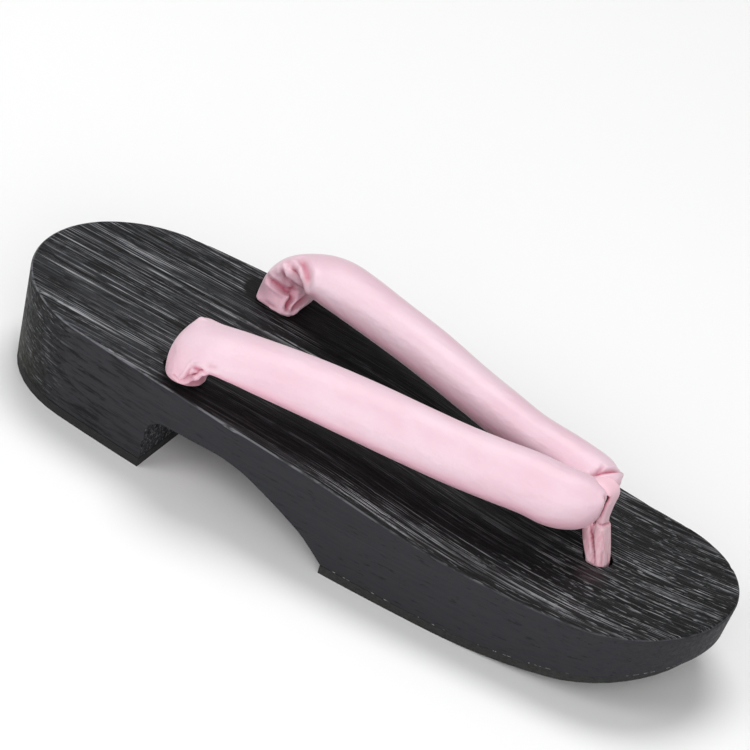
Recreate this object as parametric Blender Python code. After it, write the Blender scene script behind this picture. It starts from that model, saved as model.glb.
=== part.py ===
"""Geta sandal: a wooden base with a heel block, rubber under heel and forefoot, and a padded V strap
that a front loop holds down.

Lengths below are in millimetres, and new_object turns them into metres. +X points to the toe, +Y to
one side and +Z up. The origin is on the floor, under the middle of the sandal.
"""

import math
from collections import namedtuple

import bmesh
import bpy
import numpy as np
from mathutils import Matrix

METRES = 0.001
GAP = 0.3  # between pieces that meet

# Outline of the base, seen from above
LENGTH = 240.0
WIDTH = 85.5
END_RADIUS = 37.6
WALL_LEAN = 3.4  # how far the wall draws in between the heel's top and the floor
EASED_EDGE = 0.9  # worn corner round the top face
END_STEPS = 22
SIDE_STEPS = 24

# Side view of the base
HEEL_TOP = 33.0
HEEL_FACE_X = -56.3
HEEL_FACE_TOP = 13.6
HEEL_FILLET = 6.0
RUBBER = 3.0
WOOD_BOTTOM = RUBBER + GAP
FOREFOOT_REAR_X = 9.0
FLAT_END_X = 45.0
SPRING_RADIUS = 185.0
RUBBER_TOE_SETBACK = 3.0

# Holes for the strap and the loop, each opening into a wider pocket underneath
REAR_HOLE_X = -54.6
REAR_HOLE_Y = 28.5
REAR_HOLE_RADIUS = 4.8
REAR_HOLE_TILT = 42.0  # degrees from upright, the lower end forward of the heel face
REAR_POCKET_X = -46.5
REAR_POCKET_RADIUS = 8.0
REAR_POCKET_TOP = 25.0
FRONT_HOLE_X = 76.8
FRONT_HOLE_RADIUS = 4.7
FRONT_POCKET_RADIUS = 8.5
FRONT_POCKET_TOP = 15.0

# Knots that keep the cords from pulling out
REAR_KNOT = (6.6, 6.6, 3.7)
REAR_KNOT_HEIGHT = 20.8
FRONT_KNOT = (7.0, 7.0, 3.4)
FRONT_KNOT_HEIGHT = 11.0

ROUND_STEPS = 32
STRAP_STEPS = 20
LOOP_STEPS = 12
WIDE = 60.0  # half the width of a side-view cutter

ProfilePoint = namedtuple("ProfilePoint", "x height")

# Top face along the middle: level over the heel, down to the forefoot and up again at the toe
TOP_FACE = [
    ProfilePoint(-130, HEEL_TOP),
    ProfilePoint(-95, HEEL_TOP),
    ProfilePoint(-60, HEEL_TOP),
    ProfilePoint(-40, 32.8),
    ProfilePoint(-18, 32.1),
    ProfilePoint(2, 30.9),
    ProfilePoint(22, 28.7),
    ProfilePoint(42, 26.7),
    ProfilePoint(62, 25.9),
    ProfilePoint(82, 26.3),
    ProfilePoint(102, 28.0),
    ProfilePoint(122, 30.6),
]

# Underside of the arch, from the heel fillet forward to the forefoot
ARCH = [
    ProfilePoint(HEEL_FACE_X + HEEL_FILLET, HEEL_FACE_TOP + HEEL_FILLET),
    ProfilePoint(-40, 20.2),
    ProfilePoint(-30, 20.6),
    ProfilePoint(-22, 19.4),
    ProfilePoint(-14, 16.6),
    ProfilePoint(-6, 13.2),
    ProfilePoint(1, 9.6),
    ProfilePoint(FOREFOOT_REAR_X, WOOD_BOTTOM),
]

# One arm of the strap, from its tip under the loop back to the rear hole. rise is the middle's height
# over the top face, heading the angle that the arm points outwards, turn how far it has bent down, roll
# how far its inner edge is lifted, and pinch how sharp its edges are.
ArmStation = namedtuple("ArmStation", "x y rise heading turn roll half_width half_height pinch")
ARM = [
    ArmStation(73.3, 4.7, 17.2, 20, 0, 0, 1.7, 3.0, 0),
    ArmStation(72.4, 5.0, 17.4, 20, 0, 10, 4.2, 5.8, 0),
    ArmStation(70.0, 5.9, 17.6, 18, 0, 18, 6.8, 7.8, 0),
    ArmStation(66.0, 7.2, 17.9, 16, 0, 26, 8.7, 8.7, 0),
    ArmStation(60.0, 8.9, 18.3, 14, 0, 32, 9.6, 8.3, 0),
    ArmStation(54.0, 10.2, 18.5, 13, 0, 36, 9.8, 7.8, 0),
    ArmStation(42.0, 12.8, 17.6, 13, 0, 36, 9.8, 7.5, 0),
    ArmStation(30.0, 15.5, 16.8, 13, 0, 34, 9.9, 7.6, 0),
    ArmStation(18.0, 18.2, 16.2, 13, 0, 31, 9.9, 7.6, 0),
    ArmStation(0.0, 22.3, 15.7, 13, 0, 23, 10.0, 7.6, 0),
    ArmStation(-18.0, 26.2, 15.3, 13, 0, 13, 10.2, 7.5, 0),
    ArmStation(-30.0, 28.8, 14.9, 13, 0, 8, 10.5, 7.2, 0.1),
    ArmStation(-39.0, 31.2, 14.4, 15, 0, 11, 11.4, 6.2, 0.3),
    ArmStation(-45.5, 32.8, 13.9, 16, 10, 15, 12.6, 5.8, 0.5),
    ArmStation(-50.3, 33.2, 12.4, 17, 36, 15, 13.2, 5.7, 0.6),
    ArmStation(-52.6, 32.8, 9.4, 17, 60, 10, 12.4, 5.8, 0.5),
    ArmStation(-53.4, 32.2, 6.3, 16, 80, 4, 11.2, 6.0, 0.3),
    ArmStation(-53.2, 31.2, 3.4, 14, 90, 0, 9.6, 6.3, 0.1),
    ArmStation(-53.2, 30.2, 0.6, 8, 90, 0, 8.2, 6.2, 0),
    ArmStation(-54.4, 28.9, 0.5, 4, 96, 0, 4.2, 4.0, 0),
    ArmStation(-53.5, 28.5, -1.2, 0, 132, 0, 3.0, 3.0, 0),
    ArmStation(-49.4, 28.5, -5.8, 0, 132, 0, 2.6, 2.6, 0),
    ArmStation(-45.8, 28.5, -9.8, 0, 132, 0, 2.6, 2.6, 0),
]

# The front loop, from the foot of its front leg over the strap and down again behind it
LoopStation = namedtuple("LoopStation", "x height half_width half_thickness")
LOOP = [
    LoopStation(78.7, 12.0, 2.6, 1.4),
    LoopStation(78.7, 22.0, 2.7, 1.4),
    LoopStation(78.4, 26.4, 3.0, 1.6),
    LoopStation(77.3, 29.6, 3.3, 1.7),
    LoopStation(75.8, 32.6, 3.4, 1.7),
    LoopStation(74.5, 35.6, 3.3, 1.6),
    LoopStation(73.7, 39.0, 3.3, 1.6),
    LoopStation(73.3, 43.2, 3.7, 1.8),
    LoopStation(73.0, 47.6, 3.9, 1.9),
    LoopStation(72.3, 51.4, 4.2, 1.9),
    LoopStation(70.8, 53.9, 4.5, 1.8),
    LoopStation(68.6, 54.0, 4.4, 1.7),
    LoopStation(66.9, 51.8, 4.0, 1.6),
    LoopStation(66.0, 48.0, 3.4, 1.5),
    LoopStation(65.7, 43.0, 3.0, 1.5),
    LoopStation(66.0, 38.6, 3.0, 1.5),
    LoopStation(67.6, 35.6, 3.0, 1.5),
    LoopStation(69.8, 33.6, 3.2, 1.6),
    LoopStation(71.6, 31.4, 3.3, 1.7),
    LoopStation(73.2, 28.7, 3.2, 1.6),
    LoopStation(74.6, 25.6, 2.9, 1.5),
    LoopStation(74.9, 22.0, 2.7, 1.4),
    LoopStation(74.9, 12.0, 2.6, 1.4),
]


def smooth_through(points):
    """A function of x that runs smoothly through the profile points."""
    xs = np.array([point.x for point in points], float)
    heights = np.array([point.height for point in points], float)
    slopes = np.gradient(heights, xs)

    def height_at(x):
        i = int(np.clip(np.searchsorted(xs, x) - 1, 0, len(xs) - 2))
        step = xs[i + 1] - xs[i]
        t = (x - xs[i]) / step
        start = (1 + 2 * t) * (1 - t) ** 2 * heights[i] + t * (1 - t) ** 2 * step * slopes[i]
        end = t * t * (3 - 2 * t) * heights[i + 1] - t * t * (1 - t) * step * slopes[i + 1]
        return start + end

    return height_at


top_height = smooth_through(TOP_FACE)
arch_height = smooth_through(ARCH)


def spring_height(x, lift=0.0):
    """Height of the forefoot's underside, level and then rising to the toe, lifted along its normal."""
    run = max(0.0, x - FLAT_END_X)
    return SPRING_RADIUS - math.sqrt((SPRING_RADIUS - lift) ** 2 - run**2)


def finish(name, colour, roughness):
    """A plain material. The colour is linear red, green and blue."""
    material = bpy.data.materials.new(name)
    material.use_nodes = True
    shader = material.node_tree.nodes["Principled BSDF"]
    shader.inputs["Base Color"].default_value = (*colour, 1.0)
    shader.inputs["Roughness"].default_value = roughness
    shader.inputs["Metallic"].default_value = 0.0
    return material


def new_object(name, shape, material=None):
    """An object from a bmesh in millimetres. With no material it is a cutter, left out of renders."""
    bmesh.ops.recalc_face_normals(shape, faces=shape.faces)
    bmesh.ops.scale(shape, vec=(METRES, METRES, METRES), verts=shape.verts)
    mesh = bpy.data.meshes.new(name)
    shape.to_mesh(mesh)
    shape.free()
    mesh.shade_smooth()
    mesh.set_sharp_from_angle(angle=math.radians(40))
    piece = bpy.data.objects.new(name, mesh)
    bpy.context.scene.collection.objects.link(piece)
    if material:
        mesh.materials.append(material)
    else:
        piece.hide_render = True
        piece.display_type = "WIRE"
    return piece


def boolean(piece, operation, *others):
    for other in others:
        modifier = piece.modifiers.new(f"{operation.lower()} {other.name}", "BOOLEAN")
        modifier.operation = operation
        modifier.solver = "EXACT"
        modifier.object = other


def loft(rings):
    """A closed skin over rings of points that have the same number of points."""
    shape = bmesh.new()
    loops = [[shape.verts.new(point) for point in ring] for ring in rings]
    for ring, following in zip(loops, loops[1:]):
        for i in range(len(ring)):
            j = (i + 1) % len(ring)
            shape.faces.new((ring[i], ring[j], following[j], following[i]))
    shape.faces.new(loops[0])
    shape.faces.new(loops[-1])
    return shape


def outline(inset):
    """The base's outline: round ends joined by long shallow arcs, drawn in by inset."""
    reach = LENGTH / 2 - END_RADIUS
    half = WIDTH / 2
    side_radius = (half**2 + reach**2 - END_RADIUS**2) / (2 * (half - END_RADIUS))
    spread = math.asin(reach / (side_radius - END_RADIUS))
    points = []
    for way in (1, -1):
        for turn in np.linspace(-math.pi / 2 + spread, math.pi / 2 - spread, END_STEPS + 1):
            radius = END_RADIUS - inset
            points.append((way * (reach + radius * math.cos(turn)), way * radius * math.sin(turn)))
        for turn in np.linspace(spread, -spread, SIDE_STEPS + 1)[1:-1]:
            radius = side_radius - inset
            drop = half - side_radius
            points.append((way * radius * math.sin(turn), way * (drop + radius * math.cos(turn))))
    return points


def lean_at(height):
    return WALL_LEAN * (1 - height / HEEL_TOP)


def base_blank():
    """The block before the underside is cut: a leaning wall, an eased rim and the hollowed top face."""
    floor_ring = [(x, y, -GAP) for x, y in outline(lean_at(-GAP))]
    rims = []
    for turn in (0, 45, 90):
        inset = EASED_EDGE * (1 - math.cos(math.radians(turn)))
        drop = EASED_EDGE * (1 - math.sin(math.radians(turn)))
        rims.append([(x, y, top_height(x) - drop) for x, y in outline(inset)])
    shape = bmesh.new()
    loops = [[shape.verts.new(point) for point in ring] for ring in [floor_ring, *rims]]
    count = len(floor_ring)
    for ring, following in zip(loops, loops[1:]):
        for i in range(count):
            j = (i + 1) % count
            shape.faces.new((ring[i], ring[j], following[j], following[i]))
    shape.faces.new(loops[0])
    rim = loops[-1]
    # Each point has a partner across the middle line, so straight strips span the top face.
    partner = {i: (END_STEPS - i) % count for i in range(count)}
    toe, heel = END_STEPS // 2, END_STEPS // 2 + count // 2
    for i in range(toe, heel):
        corners = [rim[i], rim[i + 1], rim[partner[i + 1]], rim[partner[i]]]
        shape.faces.new(list(dict.fromkeys(corners)))
    return shape


def side_prism(profile):
    """A side view, given as (x, height) points, carried right across the sandal."""
    shape = bmesh.new()
    face = shape.faces.new([shape.verts.new((x, -WIDE, height)) for x, height in profile])
    swept = bmesh.ops.extrude_face_region(shape, geom=[face])["geom"]
    corners = [item for item in swept if isinstance(item, bmesh.types.BMVert)]
    bmesh.ops.translate(shape, vec=(0, 2 * WIDE, 0), verts=corners)
    return shape


def underside_profile():
    """Everything below the wood: the heel rubber's place, the arch and the forefoot rubber's place."""
    far, deep = LENGTH / 2 + 10, -10.0
    profile = [(-far, deep), (-far, WOOD_BOTTOM), (HEEL_FACE_X, WOOD_BOTTOM)]
    for turn in np.radians(np.linspace(0, 90, 6)):
        back = HEEL_FILLET * (1 - math.cos(turn))
        up = HEEL_FILLET * math.sin(turn)
        profile.append((HEEL_FACE_X + back, HEEL_FACE_TOP + up))
    arch_start = ARCH[0].x
    for x in np.linspace(arch_start, FOREFOOT_REAR_X, 16)[1:]:
        profile.append((x, arch_height(x)))
    for x in np.linspace(FLAT_END_X, far, 15):
        profile.append((x, spring_height(x, WOOD_BOTTOM)))
    profile.append((far, deep))
    return profile


def forefoot_rubber_profile():
    far = LENGTH / 2 + 5
    run = np.linspace(FLAT_END_X, far, 14)
    lower = [(FOREFOOT_REAR_X, 0.0)] + [(x, spring_height(x)) for x in run]
    upper = [(FOREFOOT_REAR_X, RUBBER)] + [(x, spring_height(x, RUBBER)) for x in run]
    return lower + upper[::-1]


def drill(name, x, y, height, radius, depth, tilt=0.0):
    """A round cutter centred on the point, with its lower end tilted forward."""
    shape = bmesh.new()
    bmesh.ops.create_cone(
        shape,
        cap_ends=True,
        segments=ROUND_STEPS,
        radius1=radius,
        radius2=radius,
        depth=depth,
    )
    cutter = new_object(name, shape)
    cutter.location = (x * METRES, y * METRES, height * METRES)
    cutter.rotation_euler = (0, math.radians(-tilt), 0)
    return cutter


def knot(name, x, y, height, radii):
    shape = bmesh.new()
    place = Matrix.Translation((x, y, height)) @ Matrix.Diagonal((*radii, 1.0))
    bmesh.ops.create_uvsphere(shape, u_segments=18, v_segments=10, radius=1.0, matrix=place)
    return new_object(name, shape)


def make_base(material):
    base = new_object("wooden_base", base_blank(), material)
    boolean(base, "DIFFERENCE", new_object("underside_cutter", side_prism(underside_profile())))
    for side, label in ((1, "left"), (-1, "right")):
        y = side * REAR_HOLE_Y
        hole = drill(f"{label}_hole_cutter", REAR_HOLE_X, y, HEEL_TOP, REAR_HOLE_RADIUS, 36, REAR_HOLE_TILT)
        pocket = drill(f"{label}_pocket_cutter", REAR_POCKET_X, y, REAR_POCKET_TOP - 10, REAR_POCKET_RADIUS, 20)
        boolean(base, "DIFFERENCE", hole, pocket)
    hole = drill("front_hole_cutter", FRONT_HOLE_X, 0, 25, FRONT_HOLE_RADIUS, 30)
    pocket = drill("front_pocket_cutter", FRONT_HOLE_X, 0, FRONT_POCKET_TOP - 15, FRONT_POCKET_RADIUS, 30)
    boolean(base, "DIFFERENCE", hole, pocket)
    return base, pocket


def make_rubber(material_heel, material_forefoot, front_pocket):
    reach = LENGTH / 2 + 5
    heel = new_object("heel_rubber", base_blank(), material_heel)
    slab = [(-reach, 0), (HEEL_FACE_X, 0), (HEEL_FACE_X, RUBBER), (-reach, RUBBER)]
    boolean(heel, "INTERSECT", new_object("heel_rubber_form", side_prism(slab)))
    shape = base_blank()
    bmesh.ops.translate(shape, vec=(-RUBBER_TOE_SETBACK, 0, 0), verts=shape.verts)
    forefoot = new_object("forefoot_rubber", shape, material_forefoot)
    form = new_object("forefoot_rubber_form", side_prism(forefoot_rubber_profile()))
    boolean(forefoot, "INTERSECT", form)
    boolean(forefoot, "DIFFERENCE", front_pocket)
    return heel, forefoot


def arm_ring(station, side):
    """One oval section of the strap, square to the way that the arm runs."""
    heading, turn, roll = (math.radians(a) for a in (station.heading, station.turn, station.roll))
    along = np.array([-math.cos(heading), side * math.sin(heading), 0.0])
    across = np.array([math.sin(heading), side * math.cos(heading), 0.0])
    outward = np.array([0.0, 0.0, 1.0]) * math.cos(turn) + along * math.sin(turn)
    wide = across * math.cos(roll) - outward * math.sin(roll)
    thick = across * math.sin(roll) + outward * math.cos(roll)
    height = top_height(station.x) + station.rise
    middle = np.array([station.x, side * station.y, height])
    ring = []
    for angle in np.linspace(0, 2 * math.pi, STRAP_STEPS, endpoint=False):
        width = station.half_width * math.cos(angle)
        thickness = station.half_height * math.sin(angle) * abs(math.sin(angle)) ** station.pinch
        ring.append(middle + width * wide + thickness * thick)
    return ring


def loop_rings(margin):
    """Flat rounded sections along the loop, each grown by margin."""
    path = np.array([(station.x, 0.0, station.height) for station in LOOP])
    runs = np.gradient(path, axis=0)
    rings = []
    for station, middle, run in zip(LOOP, path, runs):
        outward = np.array([run[2], 0.0, -run[0]]) / np.linalg.norm(run)
        width, thickness = station.half_width + margin, station.half_thickness + margin
        ring = []
        for angle in np.linspace(0, 2 * math.pi, LOOP_STEPS, endpoint=False):
            across, through = math.cos(angle), math.sin(angle)
            fullness = (across**4 + through**4) ** -0.25
            ring.append(middle + fullness * (width * across * np.array([0, 1, 0]) + thickness * through * outward))
        rings.append(ring)
    return rings


def make_strap(material):
    strap = new_object("strap", loft([arm_ring(station, 1) for station in ARM]), material)
    boolean(strap, "UNION", new_object("right_arm", loft([arm_ring(station, -1) for station in ARM])))
    for side, label in ((1, "left"), (-1, "right")):
        end = knot(f"{label}_knot", REAR_POCKET_X, side * REAR_HOLE_Y, REAR_KNOT_HEIGHT, REAR_KNOT)
        boolean(strap, "UNION", end)
    boolean(strap, "DIFFERENCE", new_object("loop_clearance", loft(loop_rings(GAP))))
    return strap


def make_loop(material):
    loop = new_object("front_loop", loft(loop_rings(0.0)), material)
    boolean(loop, "UNION", knot("front_knot", FRONT_HOLE_X, 0, FRONT_KNOT_HEIGHT, FRONT_KNOT))
    return loop


def main():
    for thing in list(bpy.data.objects):
        bpy.data.objects.remove(thing)
    sandal = bpy.data.objects.new("geta_sandal", None)
    bpy.context.scene.collection.objects.link(sandal)
    black_wood = finish("black_paulownia", (0.022, 0.022, 0.024), 0.62)
    heel_black = finish("heel_rubber_black", (0.026, 0.027, 0.028), 0.8)
    forefoot_black = finish("forefoot_rubber_black", (0.026, 0.027, 0.028), 0.8)
    pink_satin = finish("pink_satin", (0.86, 0.50, 0.60), 0.45)
    pink_band = finish("pink_band", (0.84, 0.48, 0.58), 0.5)
    base, front_pocket = make_base(black_wood)
    pieces = [base, *make_rubber(heel_black, forefoot_black, front_pocket)]
    pieces += [make_strap(pink_satin), make_loop(pink_band)]
    for piece in pieces:
        piece.parent = sandal


main()
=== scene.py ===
# %% [markdown]
# # A geta sandal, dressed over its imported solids
# A geta is one block of paulownia wood with a cloth strap. This one is charred and brushed black, stands on
# two pieces of rubber, and has a padded pink V strap that a narrow cloth loop holds down at the front.
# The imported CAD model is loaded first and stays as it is. Everything made here is in metres, in its frame:
# +X points to the toe, +Z up, and the floor is at zero.

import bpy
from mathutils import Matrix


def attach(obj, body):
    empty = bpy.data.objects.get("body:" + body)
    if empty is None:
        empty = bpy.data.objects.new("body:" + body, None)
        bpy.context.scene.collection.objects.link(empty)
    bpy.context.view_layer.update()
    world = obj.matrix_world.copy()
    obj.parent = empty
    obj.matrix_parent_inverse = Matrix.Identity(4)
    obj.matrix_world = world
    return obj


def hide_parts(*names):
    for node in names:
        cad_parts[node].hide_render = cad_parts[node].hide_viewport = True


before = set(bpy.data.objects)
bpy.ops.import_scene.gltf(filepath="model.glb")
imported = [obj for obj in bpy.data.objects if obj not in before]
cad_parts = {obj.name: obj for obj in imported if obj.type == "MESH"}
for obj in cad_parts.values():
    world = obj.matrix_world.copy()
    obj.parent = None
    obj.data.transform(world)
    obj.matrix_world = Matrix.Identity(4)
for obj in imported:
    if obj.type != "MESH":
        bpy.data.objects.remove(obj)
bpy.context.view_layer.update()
print("packed nodes:", sorted(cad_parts))

# %% Modules and measures
import math
from collections import namedtuple

import bmesh
import bpy
import numpy as np
from mathutils import Matrix, Vector, noise
from mathutils.bvhtree import BVHTree

MM = 0.001  # tables below are in millimetres, as on a maker's drawing

# %% [markdown]
# ## The camera
# The photo was taken from far off with a long lens, above the sandal's near side, with the camera rolled
# so that the sandal runs down to the right. The angles, the distance and the focal length were worked out
# from the outline of the wood, so the render can be laid over the photo.

# %% Camera
CAMERA_AZIMUTH = 18.8725
CAMERA_ELEVATION = 32.0834
CAMERA_ROLL = 18.356
CAMERA_DISTANCE = 1552.17
CAMERA_AIM = (-6.803, 0.0, 44.982)
LENS = 251.359
SENSOR = 36.0
SEEN_FROM, SEEN_TO = 0.05, 20.0  # metres from the lens


def photo_camera():
    azimuth, elevation, roll = (math.radians(a) for a in (CAMERA_AZIMUTH, CAMERA_ELEVATION, CAMERA_ROLL))
    level = math.cos(elevation)
    back = Vector((math.sin(azimuth) * level, -math.cos(azimuth) * level, math.sin(elevation)))
    right = Vector((math.cos(azimuth), math.sin(azimuth), 0.0))
    up = back.cross(right)
    rolled_right = right * math.cos(roll) + up * math.sin(roll)
    rolled_up = up * math.cos(roll) - right * math.sin(roll)
    lens = bpy.data.cameras.new("photo_camera")
    lens.lens, lens.sensor_width = LENS, SENSOR
    lens.clip_start, lens.clip_end = SEEN_FROM, SEEN_TO
    camera = bpy.data.objects.new("photo_camera", lens)
    place = Matrix((rolled_right, rolled_up, back)).transposed().to_4x4()
    place.translation = (Vector(CAMERA_AIM) + back * CAMERA_DISTANCE) * MM
    camera.matrix_world = place
    bpy.context.scene.collection.objects.link(camera)
    bpy.context.scene.camera = camera
    return camera


camera = photo_camera()
print("camera stands", [round(v, 3) for v in camera.location], "metres from the origin")

# %% [markdown]
# ## Finishes: colours and nodes
# Colours are read as the screen's hex values and turned into the linear values that the shader wants.
# Blender's own names for nodes and sockets are long, so each kind of node that is used is listed once under
# a short word, with its sockets in the order in which they are filled. One helper then adds any node, and a
# finish reads as a recipe. Patterns are laid out in the object's own millimetres, so grain and weave have a
# real size.


# %% Screen colours
def screen_colour(code):
    """Linear red, green, blue and alpha of a screen colour such as "#e8a0b4"."""
    channels = [int(code[i : i + 2], 16) / 255 for i in (1, 3, 5)]
    linear = [c / 12.92 if c <= 0.04045 else ((c + 0.055) / 1.055) ** 2.4 for c in channels]
    return (*linear, 1.0)


print("a screen's middle grey is", round(screen_colour("#808080")[0], 3), "in linear light")

# %% Kinds of node
NodeKind = namedtuple("NodeKind", "type sockets output settings")
KINDS = {
    # a soft step: value, low, high, then its start and end where they aren't 0 and 1
    "fade": NodeKind("ShaderNodeMapRange", ("Value", "From Min", "From Max", "To Min", "To Max"), 0,
                     {"interpolation_type": "SMOOTHSTEP"}),
    # one colour turning into another: share, colour below, colour above
    "tint": NodeKind("ShaderNodeMix", (0, 6, 7), 2, {"data_type": "RGBA"}),
    # noise: place, scale, then detail, roughness and distortion where they aren't Blender's own
    "speckle": NodeKind("ShaderNodeTexNoise", ("Vector", "Scale", "Detail", "Roughness", "Distortion"), 0, {}),
    # even bands: place and scale
    "bands": NodeKind("ShaderNodeTexWave", ("Vector", "Scale"), 1, {"wave_type": "BANDS"}),
    # relief without geometry: height, depth in metres, and an earlier bump where there is one
    "bump": NodeKind("ShaderNodeBump", ("Height", "Distance", "Normal"), 0, {}),
    # a value kept on the mesh itself
    "stored": NodeKind("ShaderNodeAttribute", (), "Fac", {}),
    "place": NodeKind("ShaderNodeTexCoord", (), None, {}),
    "stretch": NodeKind("ShaderNodeMapping", ("Vector", "Scale"), 0, {}),
    "axes": NodeKind("ShaderNodeSeparateXYZ", (0,), None, {}),
    "distance": NodeKind("ShaderNodeVectorMath", (0, 1), "Value", {"operation": "DISTANCE"}),
}
for word in ("add", "subtract", "multiply", "maximum", "minimum", "absolute", "pingpong"):
    KINDS[word] = NodeKind("ShaderNodeMath", (0, 1), 0, {"operation": word.upper()})
print("kinds of node for finishes:", len(KINDS))


# %% The one helper that adds a node
def node(tree, word, *values, **settings):
    """Adds a node of the listed kind, puts each value or link into its socket, and gives back the output."""
    kind = KINDS[word]
    made = tree.nodes.new(kind.type)
    for setting, choice in {**kind.settings, **settings}.items():
        setattr(made, setting, choice)
    for socket, value in zip(kind.sockets, values):
        if isinstance(value, bpy.types.NodeSocket):
            tree.links.new(value, made.inputs[socket])
        else:
            made.inputs[socket].default_value = value
    return made.outputs if kind.output is None else made.outputs[kind.output]


def millimetres(tree, cells=(1.0, 1.0, 1.0)):
    """The object's own coordinates in millimetres, times a number of cells per millimetre along each axis."""
    return node(tree, "stretch", node(tree, "place")["Object"], [c / MM for c in cells])


def new_finish(name, ior, roughness):
    material = bpy.data.materials.new(name)
    material.use_nodes = True
    shader = material.node_tree.nodes["Principled BSDF"]
    shader.inputs["IOR"].default_value = ior
    shader.inputs["Metallic"].default_value = 0.0
    shader.inputs["Roughness"].default_value = roughness
    return material, material.node_tree, shader


# %% [markdown]
# ## Charred, brushed paulownia
# The maker chars the wood and brushes out the soft early growth, so hard lines stand up along the block.
# A photo texture would stop at the edges. Here the grain is a solid pattern stretched along X, so it runs
# over the top as long lines, along the sides as fine dashes, and shows end grain round the heel and toe.
# The brushed top carries pale lines, partly painted glints on their ridges, and is painted darker in the
# strap's shadow. The sawn sides are smoother and plainer, the rim is pale from rubbing and a painted edge
# highlight, and the chiselled front of the heel block is rough.

# %% Colours of the charred wood
CHAR_BLACK = "#09090b"
CHAR_GREY = "#17181a"
HEEL_GREY = "#303135"
BRUSHED_LIGHT = "#b2b3b7"
SIDE_GREY = "#2d2d31"
SIDE_DARK = "#17171a"
PALE_RIM = "#6e6f73"
HEEL_OLIVE = "#34332a"
# black painted as shade inside the bores and beside the far strap end
SHADE_BLACK = "#030303"
DARK_MAUVE = "#33262a"
print("char black reflects", round(screen_colour(CHAR_BLACK)[0], 4), "of the light")

# %% [markdown]
# ### The top's grain
# Growth lines differ in width, length and strength, so the top is built from several noises, each stretched
# along the block. Height hardly counts in them, so the lines run on over the hollow. Each is listed with its
# cells per millimetre along, across and up: 1.9 across means a line about every half millimetre.

# %% Noises of the top
TOP_GRAIN = {
    "bands": ((0.012, 0.16, 0.03), 1.0, 3.0, 0.6, 0.3),
    "grooves": ((0.014, 0.8, 0.03), 1.0, 4.0, 0.72, 0.2),
    "patches": ((0.03, 0.08, 0.03), 1.0, 3.0, 0.6),
    "breaks": ((0.045, 0.5, 0.03), 1.0, 3.0, 0.65),
    "thin lines": ((0.008, 1.9, 0.03), 1.0, 1.0),
    "thick lines": ((0.012, 1.25, 0.03), 1.3, 1.0),
    "dark lines": ((0.006, 1.2, 0.02), 1.0, 2.0),
    "blotches": ((0.08, 0.2, 0.05), 1.0, 4.0, 0.7),
    "crumbs": ((0.22, 0.6, 0.1), 1.0, 3.0, 0.7),
    "flecks": ((0.2, 1.4, 0.1), 1.0, 2.0, 0.6),
}


def top_grain(tree):
    grain = {}
    for name, (cells, *rest) in TOP_GRAIN.items():
        grain[name] = node(tree, "speckle", millimetres(tree, cells), *rest)
    return grain


print("noises of the top:", len(TOP_GRAIN))

# %% Where the strap covers the top and where its painted shadow falls
ARM_SLOPE = 0.222  # how much an arm moves outwards for each millimetre towards the heel


def strap_shadow_and_unrubbed(tree, spot):
    """1 under the arms and on the strip from the near arm to the near rim: wood that is never rubbed, and painted
    shadow of the strap.
    """
    arm_line = node(tree, "add", node(tree, "multiply", spot[0], ARM_SLOPE), node(tree, "absolute", spot[1]))
    across = node(tree, "multiply", node(tree, "fade", arm_line, 7.0, 13.0), node(tree, "fade", arm_line, 39.0, 32.0))
    along = node(tree, "multiply", node(tree, "fade", spot[0], -63.0, -55.0), node(tree, "fade", spot[0], 70.0, 56.0))
    from_hole, to_arch = node(tree, "fade", spot[0], -57.0, -49.0), node(tree, "fade", spot[0], 4.0, -12.0)
    near_side_shadow = node(tree, "multiply", from_hole, to_arch)
    near_side_shadow = node(tree, "multiply", near_side_shadow, node(tree, "fade", spot[1], -26.0, -32.0, 0.0, 0.8))
    return node(tree, "maximum", node(tree, "multiply", across, along), near_side_shadow)


# %% Ground of the top
def top_ground(tree, spot, grain, shadow_and_unrubbed):
    """Black, greyer where the heel has rubbed it, and blackest under and beside the strap, unrubbed and in painted
    shadow.
    """
    black = screen_colour(CHAR_BLACK)
    ground = node(tree, "tint", node(tree, "fade", grain["grooves"], 0.42, 0.64), black, screen_colour(CHAR_GREY))
    uneven = node(tree, "fade", grain["breaks"], 0.3, 0.56, 0.25, 0.8)
    rubbed = node(tree, "multiply", node(tree, "fade", spot[0], -38.0, -72.0), uneven)
    ground = node(tree, "tint", rubbed, ground, screen_colour(HEEL_GREY))
    for name, pale, dark, share in (("dark lines", 0.47, 0.41, 0.95), ("bands", 0.5, 0.32, 0.6),
                                    ("blotches", 0.49, 0.4, 0.85)):
        ground = node(tree, "tint", node(tree, "fade", grain[name], pale, dark, 0.0, share), ground, black)
    return node(tree, "tint", node(tree, "multiply", shadow_and_unrubbed, 0.9), ground, black)


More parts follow.
